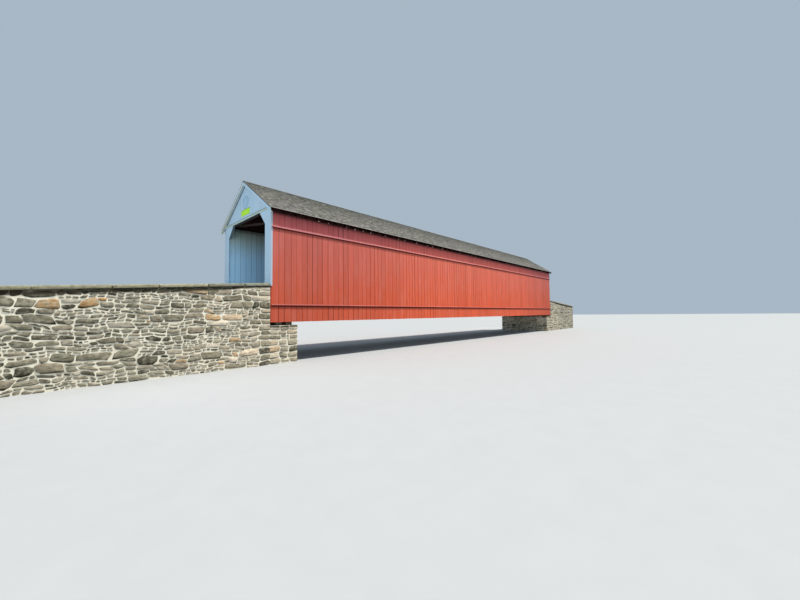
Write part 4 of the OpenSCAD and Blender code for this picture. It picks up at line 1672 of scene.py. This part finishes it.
@dataclass
class Roof:
    """Rafters and lath under two slopes of split shingles, with boards along the ridge and the rakes."""

    exposure: float = 0.0728
    lap: float = 0.012
    butt: float = 0.0075
    head: float = 0.001
    stray: float = 0.0018
    widths: tuple[float, float] = (0.05, 0.115)
    least_w: float = 0.02
    gap: float = 0.0025
    ridge_plank: float = 2.44
    ridge_t: float = 0.012
    ridge_gap: float = 0.001
    butt_gap: float = 0.003
    ease: float = 0.0015
    rafters: int = 61
    rafter_w: float = 0.038
    tip_h: float = 0.024
    tip_share: float = 0.72
    tip_reach: float = 8.1
    tip_t: float = 0.005
    soffit_t: float = 0.008
    soffit_up: float = 0.006
    soffit_gap: float = 0.022
    ridge_cut: float = 0.0005

    def build(self) -> None:
        """Cover both slopes, lay the boards along their edges and dress the timbers."""
        wood = SHINGLES.material()
        for side in Side:
            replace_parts(self.slope(side).to_object(f"{side}_shingles", wood, "shingles"), f"{side}_roof")
        rng = np.random.default_rng(97)
        ridge = Shape.join([self.ridge(side, rng) for side in Side])
        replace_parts(ridge.to_object("ridge_planks", RIDGE_WOOD.material(), "shingles"), "ridge_boards")
        grey, blue = BOUNCE_LIT_GREY.material(), RAKE_BLUE.material()
        for end in End:
            for side, paint in zip(Side, (blue, grey)):
                plank = self.rake(end, side, rng)
                plank = plank.to_object(f"{end}_{side}_rake_plank", paint, "pale_boards")
                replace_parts(plank, f"{end}_rake_boards")
            soffits = Shape.join([self.soffit(end, side, rng) for side in Side])
            soffits.to_object(f"{end}_soffit_boards", grey, "pale_boards")
        tip = SUNLIT_TIP_WOOD.material()
        for side in Side:
            self.tips(side, rng).to_object(f"{side}_tail_tips", tip, "roof_timber")
        coat(ROOF_WOOD.material(Grain.FRONT_SLOPE), "front_rafters")
        coat(ROOF_WOOD.material(Grain.BACK_SLOPE), "back_rafters")
        coat(ROOF_WOOD.material(Grain.ALONG_X), "roof_lath")

    @staticmethod
    def axes(side: Side) -> tuple[np.ndarray, np.ndarray]:
        """Return the unit vectors up a slope and out of it."""
        cosine, sine = math.cos(ROOF_ANGLE), math.sin(ROOF_ANGLE)
        return np.array([0.0, -side * cosine, sine]), np.array([0.0, side * sine, cosine])

    @staticmethod
    def box_faces(count: int, side: Side) -> list[np.ndarray]:
        """Number the faces of pieces of eight points, which run the other way on the back slope."""
        return [group[:, ::-side] for group in ring_faces(count, 2, 4)]

    def slope(self, side: Side) -> Shape:
        """Lay the shingles of one slope on a solid bed.

        Each shingle is a wedge: its lower end stands one butt above the bed, its upper end runs
        out under the course above.

        Args:
            side: the slope's side of the bridge.

        Returns:
            The bed and the shingles as one shape.
        """
        rng = np.random.default_rng(91 + side)
        box = Box.of(f"{side}_roof")
        eave_y = box.span(1)[1]
        long = abs(eave_y) / math.cos(ROOF_ANGLE)
        foot = np.array([0.0, eave_y, box.high[2] - abs(eave_y) * math.tan(ROOF_ANGLE)])

        rows = []
        for course in range(int(np.ceil(long / self.exposure))):
            start = course * self.exposure
            widths = rng.uniform(*self.widths, int(box.size[0] / 0.07) + 40)
            edges = box.low[0] - rng.uniform(0, 0.05) + np.concatenate([[0], np.cumsum(widths)])
            edges = np.clip(edges[edges < box.high[0] + 0.12], box.low[0], box.high[0])
            wide = np.diff(edges) > self.least_w
            left, right = edges[:-1][wide] + self.gap / 2, edges[1:][wide] - self.gap / 2
            low = np.maximum(start + rng.normal(0, self.stray, len(left)) * (course > 0), 0)
            high = min(start + self.exposure + self.lap, long) + 0 * low
            rows.append(np.stack([left, right, low, high, (course == 0) + 0 * low], -1))
        rows = np.concatenate(rows)
        count = len(rows)
        thick = self.butt * rng.uniform(0.78, 1.0, (count, 2))
        x = rows[:, [0, 1, 1, 0, 0, 1, 1, 0]]
        s = rows[:, [2, 2, 3, 3, 2, 2, 3, 3]]
        h = np.concatenate([np.zeros((count, 4)), thick, np.full((count, 2), self.head)], 1) - self.butt
        grain = np.stack([s, x, h], -1)
        up, out = self.axes(side)
        points = foot + grain @ np.stack([up, X, out])
        grain = grain + rng.uniform(0, GRAIN_SHIFT, (count, 1, 3))
        piece = tagged(rng.uniform(0, 1, (2, count, 1)), np.tile([-1.0, 1, 1, -1], (count, 2)))
        ends = np.stack([s - rows[:, 2:3], rows[:, 3:4] - s, rows[:, 4:] + 0 * s], -1)
        cover = Shape(points, self.box_faces(count, side), grain, piece, ends)
        return Shape.join([cover, self.bed(box, side)])

    def bed(self, box: Box, side: Side) -> Shape:
        """Make the bed under the shingles, a sheet of even thickness from eave to ridge.

        Args:
            box: the covering's box.
            side: the slope's side of the bridge.

        Returns:
            The bed.
        """
        eave_y = box.span(1)[1]
        rise = abs(eave_y) * math.tan(ROOF_ANGLE)
        top = box.high[2] - rise - self.butt / math.cos(ROOF_ANGLE)
        section = ((eave_y, box.low[2]), (0, box.low[2] + rise), (0, top + rise), (eave_y, top))
        points = np.array([(x, *corner) for x in (box.low[0], box.high[0]) for corner in section])
        piece, ends = (np.tile(row, (8, 1)) for row in (Y, X - Y))
        return Shape(points, self.box_faces(1, side), points[:, [1, 0, 2]], piece, ends)

    def ridge(self, side: Side, rng: np.random.Generator) -> Shape:
        """Lay the planks along one side of the ridge, in lengths with butt joints.

        Args:
            side: the ridge's side.
            rng: the source of random numbers.

        Returns:
            The planks as one shape.
        """
        box = Box.of("ridge_boards")
        tangent = math.tan(ROOF_ANGLE)
        inner, outer = self.ridge_gap / 2, box.high[1]
        top = box.high[2] + inner * tangent
        section = np.array([(side * y, top - y * tangent - drop) for y, drop in (
            (inner, self.ridge_t), (outer, self.ridge_t), (outer, 0.0), (inner, 0.0))])
        cuts = spread(box.low[0], box.high[0], self.ridge_plank, rng, 0.15)
        return along_x(section[::side], cuts, rng, self.butt_gap, self.ease)

    def rake(self, end: End, side: Side, rng: np.random.Generator) -> Shape:
        """Cut the rake plank of one slope, with upright cuts at the eave and at the ridge.

        Args:
            end: the plank's end of the bridge.
            side: its side of the bridge.
            rng: the source of random numbers.

        Returns:
            The plank as a shape.
        """
        box = Box.of(f"{end}_rake_boards")
        drop = box.size[2] - box.high[1] * math.tan(ROOF_ANGLE)
        centre = np.array([[box.middle[0], 0.0, box.high[2] - drop / 2]])
        plank = Timbers(centre, *self.axes(side), drop * math.cos(ROOF_ANGLE) / 2, box.size[0] / 2)
        return plank.between(side * box.high[1], side * self.ridge_cut, rng)

    def soffit(self, end: End, side: Side, rng: np.random.Generator) -> Shape:
        """Close the overhang at a gable from below with a thin board, a shadow gap short of the gable.

        Args:
            end: the gable's end of the bridge.
            side: the slope's side of the bridge.
            rng: the source of random numbers.

        Returns:
            The board as a shape.
        """
        box = Box.of(f"{end}_rake_boards")
        drop = box.size[2] - box.high[1] * math.tan(ROOF_ANGLE)
        inner, outer = box.span(0)[0], Box.of(f"{end}_gable").span(0)[1] + end * self.soffit_gap
        foot = box.high[2] - drop + self.soffit_up / math.cos(ROOF_ANGLE)
        board = Timbers(np.array([[(inner + outer) / 2, 0.0, foot]]), self.axes(side)[0], X,
                        abs(inner - outer) / 2, self.soffit_t / 2, 0.001)
        return board.between(side * box.high[1], side * self.ridge_cut, rng)

    def tips(self, side: Side, rng: np.random.Generator) -> Shape:
        """Cap the lower tips of some rafter tails with pale caps, a painted highlight of sunlit tips, but
        none next to the portals.

        Args:
            side: the rafters' side of the bridge.
            rng: the source of random numbers.

        Returns:
            The caps as one shape.
        """
        box = Box.of(f"{side}_rafters")
        y = box.span(1)[1] + side * self.tip_t / 2
        first = box.low[0] + self.rafter_w / 2
        x = np.linspace(first, -first, self.rafters)
        x = x[(rng.uniform(0, 1, self.rafters) < self.tip_share) & (np.abs(x) < self.tip_reach)]
        half_w = self.rafter_w / 2 * rng.uniform(0.75, 0.95, len(x))
        caps = Timbers(np.outer(x, X) + [0, y, box.low[2]], Z, X, half_w, self.tip_t / 2, 0.002)
        return caps.shape(0.001, self.tip_h * rng.uniform(0.7, 1.1, len(x)), rng)


@dataclass
class SideBoarding:
    """Three tiers of upright red boards on each side, with a drip ledge over the lower two."""

    board_w: float = 0.1601
    gap: float = 0.0034
    chamfer: float = 0.0022
    stand: float = 0.0014
    ledge_lip: float = 0.012
    ledge_plank: float = 3.05
    butt_gap: float = 0.002
    ease: float = 0.0015
    ragged: float = 0.004
    clear: float = 0.01

    def build(self) -> None:
        """Board both sides and fix their ledges."""
        red, eave_shade_red, ledge_red = RED.material(), EAVE_SHADE_RED.material(), LEDGE_RED.material()
        for number, side in enumerate(Side):
            joints = None
            for tier, rings in (("lower", 3), ("main", 6), ("upper", 3)):
                rng = np.random.default_rng(200 + 10 * number + len(tier))
                wall = Box.of(f"{side}_{tier}_siding")
                if joints is None or tier == "upper":
                    joints = spread(wall.low[0], wall.high[0], self.board_w, rng, 0.16)
                low = wall.low[2] + (rng.uniform(0, self.ragged, len(joints) - 1) if tier == "lower" else 0)
                boards = uprights(joints, wall, 0, self.gap, rng, self.chamfer, self.stand)
                shape = boards.shape(low, wall.high[2], rng, rings, 0.0005)
                paint = eave_shade_red if tier == "upper" else red
                tier_boards = shape.to_object(f"{side}_{tier}_boards", paint, "red_boards")
                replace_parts(tier_boards, f"{side}_{tier}_siding")
            rng = np.random.default_rng(240 + number)
            self.corner_strips(side, rng).to_object(f"{side}_corner_strips", red, "red_boards")
            ledges = self.ledges(side, rng)
            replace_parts(ledges.to_object(f"{side}_ledge_strips", ledge_red, "red_boards"), f"{side}_ledges")

    def corner_strips(self, side: Side, rng: np.random.Generator) -> Shape:
        """Close the boarding's corners below the copings, from the side boards to the portals' faces.

        Args:
            side: the boarding's side of the bridge.
            rng: the source of random numbers.

        Returns:
            The strips as one shape.
        """
        wall = Box.of(f"{side}_lower_siding")
        shapes = []
        for end in End:
            edges = np.sort([end * wall.high[0], end * PORTAL_X])
            strip = uprights(edges, wall, 0, 0.001, rng, self.ease)
            shapes.append(strip.shape(wall.low[2], WALL_TOP - self.clear, rng, 3))
        return Shape.join(shapes)

    def ledges(self, side: Side, rng: np.random.Generator) -> Shape:
        """Run both ledges of a side in lengths, each with a level foot, a lip and a sloping top.

        Args:
            side: the ledges' side of the bridge.
            rng: the source of random numbers.

        Returns:
            The ledges as one shape.
        """
        box = Box.of(f"{side}_ledges")
        lower, main = Box.of(f"{side}_lower_siding"), Box.of(f"{side}_main_siding")
        wall_y, lip_y = box.span(1)
        rows = ((box.low[2], 2 * lower.high[2] - box.low[2]), (2 * main.high[2] - box.high[2], box.high[2]))
        shapes = []
        for foot, top in rows:
            lip = foot + self.ledge_lip
            section = np.array([(wall_y, foot), (lip_y, foot), (lip_y, lip), (wall_y, top)])
            cuts = spread(box.low[0], box.high[0], self.ledge_plank, rng, 0.12)
            shapes.append(along_x(section[::side], cuts, rng, self.butt_gap, self.ease))
        return Shape.join(shapes)


@dataclass
class Portals:
    """The two portals: boards on the gable and beside the opening, corners, a moulding and the lining."""

    gable_board: float = 0.163
    jamb_board: float = 0.154
    lining_board: float = 0.157
    corner_w: float = 0.046
    corner_t: float = 0.005
    lining_t: float = 0.013
    lining_length: float = 1.1
    gap: float = 0.002
    chamfer: float = 0.002
    clear: float = 0.01
    corner_clear: float = 0.002
    corner_in: float = 0.001

    def build(self) -> None:
        """Board both ends and line the passage."""
        blue, blue_upright = BLUE.material(), BLUE.material(Grain.ALONG_Z)
        for number, end in enumerate(End):
            rng = np.random.default_rng(400 + number)
            gable = self.gable(end, rng).to_object(f"{end}_gable_boards", blue, "pale_boards")
            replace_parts(gable, f"{end}_gable")
            jambs = self.jambs(end, rng).to_object(f"{end}_jamb_boards", blue, "pale_boards")
            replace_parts(jambs, f"{end}_portal_jambs")
        self.corner_boards().to_object("corner_boards", CORNER_PALE.material(), "pale_boards")
        coat(blue_upright, "near_portal_corners", "far_portal_corners")
        coat(TRIM_BLUE.material(Grain.ALONG_Y), "near_portal_trim", "far_portal_trim")
        lining = self.lining().to_object("lining_boards", LINING_BLUE.material(), "lining_boards")
        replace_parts(lining, "portal_linings")

    def gable(self, end: End, rng: np.random.Generator) -> Shape:
        """Stand the gable's boards, each cut to the slope of the roof.

        Args:
            end: the portal's end of the bridge.
            rng: the source of random numbers.

        Returns:
            The boards as one shape.
        """
        wall = Box.of(f"{end}_gable")
        half = spread(0, wall.high[1], self.gable_board, rng)
        edges = np.concatenate([-half[:0:-1], half])
        boards = uprights(edges, wall, 1, self.gap, rng, self.chamfer, 0.0008)
        y = boards.centre[:, 1:2] + boards.outline()[..., 0]
        return boards.shape(wall.low[2], wall.high[2] - np.abs(y) * math.tan(ROOF_ANGLE), rng)

    def jambs(self, end: End, rng: np.random.Generator) -> Shape:
        """Stand the boards on both sides of the opening, the outer ones on the wing walls' level.

        Args:
            end: the portal's end of the bridge.
            rng: the source of random numbers.

        Returns:
            The boards as one shape.
        """
        wall = Box.of(f"{end}_portal_jambs")
        shapes = []
        for side in Side:
            edges = spread(wall.high[1] - 2 * self.jamb_board, wall.high[1], self.jamb_board, rng)
            edges = np.sort(side * edges)
            boards = uprights(edges, wall, 1, self.gap, rng, self.chamfer, 0.0005)
            outer = np.abs(boards.centre[:, 1]) > wall.high[1] - self.jamb_board
            low = np.where(outer, WALL_TOP - self.clear, wall.low[2])
            shapes.append(boards.shape(low, wall.high[2], rng, 3))
        return Shape.join(shapes)

    def corner_boards(self) -> Shape:
        """Cover the four corners on the bridge's sides, from the copings to the eaves.

        Returns:
            The boards as one shape.
        """
        rng = np.random.default_rng(410)
        low = WALL_TOP + self.corner_clear
        shapes = []
        for side in Side:
            face = Box.of(f"{side}_upper_siding").span(1)[1]
            wall = Box.layer(face - side * self.corner_in, face + side * self.corner_t)
            for end in End:
                edges = np.sort([end * PORTAL_X, end * (PORTAL_X - self.corner_w)])
                shapes.append(uprights(edges, wall, 0, 0.0005, rng, 0.001).shape(low, EAVE_Z, rng, 3))
        return Shape.join(shapes)

    def lining(self) -> Shape:
        """Stand the boards that line the first metres of the passage, at both ends and sides.

        Returns:
            The boards as one shape.
        """
        rng = np.random.default_rng(420)
        box = Box.of("portal_linings")
        shapes = []
        for side in Side:
            wall = Box.layer(side * box.high[1], side * (box.high[1] - self.lining_t))
            for end in End:
                edges = spread(box.high[0] - self.lining_length, box.high[0], self.lining_board, rng)
                edges = np.sort(end * edges)
                boards = uprights(edges, wall, 0, 0.003, rng, 0.003, 0.0012)
                shapes.append(boards.shape(box.low[2], box.high[2], rng, 4, 0.0004))
        return Shape.join(shapes)


@dataclass
class Plates:
    """The two bare plates on the near gable."""

    def build(self) -> None:
        """Paint the plates."""
        coat(YELLOW_PLATE.material(), "clearance_plate")
        coat(GREY_PLATE.material(), "round_plate")


@dataclass
class Studio:
    """Floor, light and camera."""

    place: tuple[float, float, float] = (-12.7724, -9.0539, 1.1544)
    yaw: float = 43.2783
    pitch: float = 2.3673
    roll: float = -0.596
    focal_pixels: float = 334.441
    picture_w: float = 800.0
    floor_reach: float = 150.0
    floor_points: int = 7
    sun_from: tuple[float, float, float] = (0.30, -0.27, 0.915)
    sun_strength: float = 4.3
    sky_strength: float = 0.56
    softbox_strength: float = 106.0
    softbox_place: tuple[float, float, float] = (13.6, 0.7, 2.9)
    passage_strength: float = 21.0
    passage_place: tuple[float, float, float] = (8.95, 0.95, 2.35)

    def build(self) -> None:
        """Lay the floor, hang the lights and set up the camera."""
        self.floor()
        self.daylight()
        self.softboxes()
        self.camera()

    def floor(self) -> None:
        """Lay a pale floor, a flat grid of points that reaches past the horizon."""
        count = self.floor_points
        side = np.linspace(-self.floor_reach, self.floor_reach, count)
        x, y = np.meshgrid(side, side)
        points = np.stack([x, y, 0 * x], -1).reshape(-1, 3)
        row, column = np.meshgrid(np.arange(count - 1), np.arange(count - 1))
        first = (row * count + column).ravel()
        faces = np.stack([first, first + 1, first + count + 1, first + count], -1)
        mesh = bpy.data.meshes.new("studio_floor")
        mesh.from_pydata(points.tolist(), [], faces.tolist())
        mesh.update()
        recipe = Recipe("studio_floor")
        speck = recipe.noise(recipe.place(), 3.0, 3, 0.6)
        colour = recipe.mix(speck, srgb(176, 178, 179), srgb(182, 184, 185))
        mesh.materials.append(recipe.finish(colour, 0.85, recipe.bump(speck, 0.001, 0.2), 0.2))
        obj = bpy.data.objects.new("studio_floor", mesh)
        bpy.context.scene.collection.objects.link(obj)

    def hang(self, lamp: bpy.types.Light, place: Vector, aim: Vector) -> None:
        """Hang a lamp, out of the camera's sight.

        Args:
            lamp: the lamp.
            place: where it hangs.
            aim: the way it shines.
        """
        obj = bpy.data.objects.new(lamp.name, lamp)
        obj.location = place
        obj.rotation_euler = aim.to_track_quat("-Z", "Y").to_euler()
        obj.visible_camera = False
        bpy.context.scene.collection.objects.link(obj)

    def daylight(self) -> None:
        """Hang a soft sun over the front and light the rest from a pale sky."""
        sun = bpy.data.lights.new("studio_sun", "SUN")
        sun.energy = self.sun_strength
        sun.angle = math.radians(5)
        sun.color = (1.0, 0.955, 0.88)
        self.hang(sun, Vector((0, 0, 20)), -Vector(self.sun_from))
        world = bpy.data.worlds.new("studio_sky")
        world.use_nodes = True
        background = next(n for n in world.node_tree.nodes if n.type == "BACKGROUND")
        background.inputs["Color"].default_value = (0.70, 0.85, 1.0, 1.0)
        background.inputs["Strength"].default_value = self.sky_strength
        bpy.context.scene.world = world

    def softboxes(self) -> None:
        """Hang a softbox outside each portal, and one inside that lights the lining across from it."""
        for end in End:
            turned = Vector((end, end, 1))
            place = Vector(self.softbox_place) * turned
            portal = Vector((end * PORTAL_X, 0, place.z))
            self.box(f"{end}_softbox", self.softbox_strength, (0.92, 0.97, 1.0), 1.5, place, portal - place)
            place, aim = Vector(self.passage_place) * turned, Vector((0, -end, -0.1))
            self.box(f"{end}_passage_light", self.passage_strength, (0.5, 0.74, 1.0), 1.2, place, aim)

    def box(self, name: str, strength: float, colour: Colour, side: float, place: Vector,
            aim: Vector) -> None:
        """Hang a square softbox.

        Args:
            name: its name.
            strength: its power in watts.
            colour: the colour of its light.
            side: how wide and high it is.
            place: its middle.
            aim: where it shines.
        """
        lamp = bpy.data.lights.new(name, "AREA")
        lamp.size = side
        lamp.energy = strength
        lamp.color = colour
        self.hang(lamp, place, aim)

    def camera(self) -> None:
        """Set the camera to the photograph's viewpoint.

        It rolls round its own axis, is tilted up from straight down by a right angle and its pitch,
        and turns round the upright from -Y by its yaw.
        """
        roll, pitch, yaw = (math.radians(angle) for angle in (self.roll, self.pitch + 90, self.yaw - 90))
        turn = Matrix.Rotation(yaw, 4, "Z") @ Matrix.Rotation(pitch, 4, "X")
        turn = turn @ Matrix.Rotation(roll, 4, "Z")
        data = bpy.data.cameras.new("photo_view")
        data.sensor_width = 36.0
        data.lens = self.focal_pixels / self.picture_w * data.sensor_width
        data.clip_end = 400.0
        obj = bpy.data.objects.new("photo_view", data)
        bpy.context.scene.collection.objects.link(obj)
        obj.matrix_world = Matrix.Translation(self.place) @ turn
        bpy.context.scene.camera = obj
        bpy.context.scene.view_settings.view_transform = "Standard"


def main() -> None:
    """Build every sub-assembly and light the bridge."""
    logging.basicConfig(level=logging.INFO, format="%(message)s")
    for assembly in (Stonework, Trusses, Floor, Bracing, Roof, SideBoarding, Portals, Plates, Studio):
        assembly().build()
        log.info("%s is done", assembly.__name__)
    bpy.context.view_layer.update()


if __name__ == "__main__":
    main()
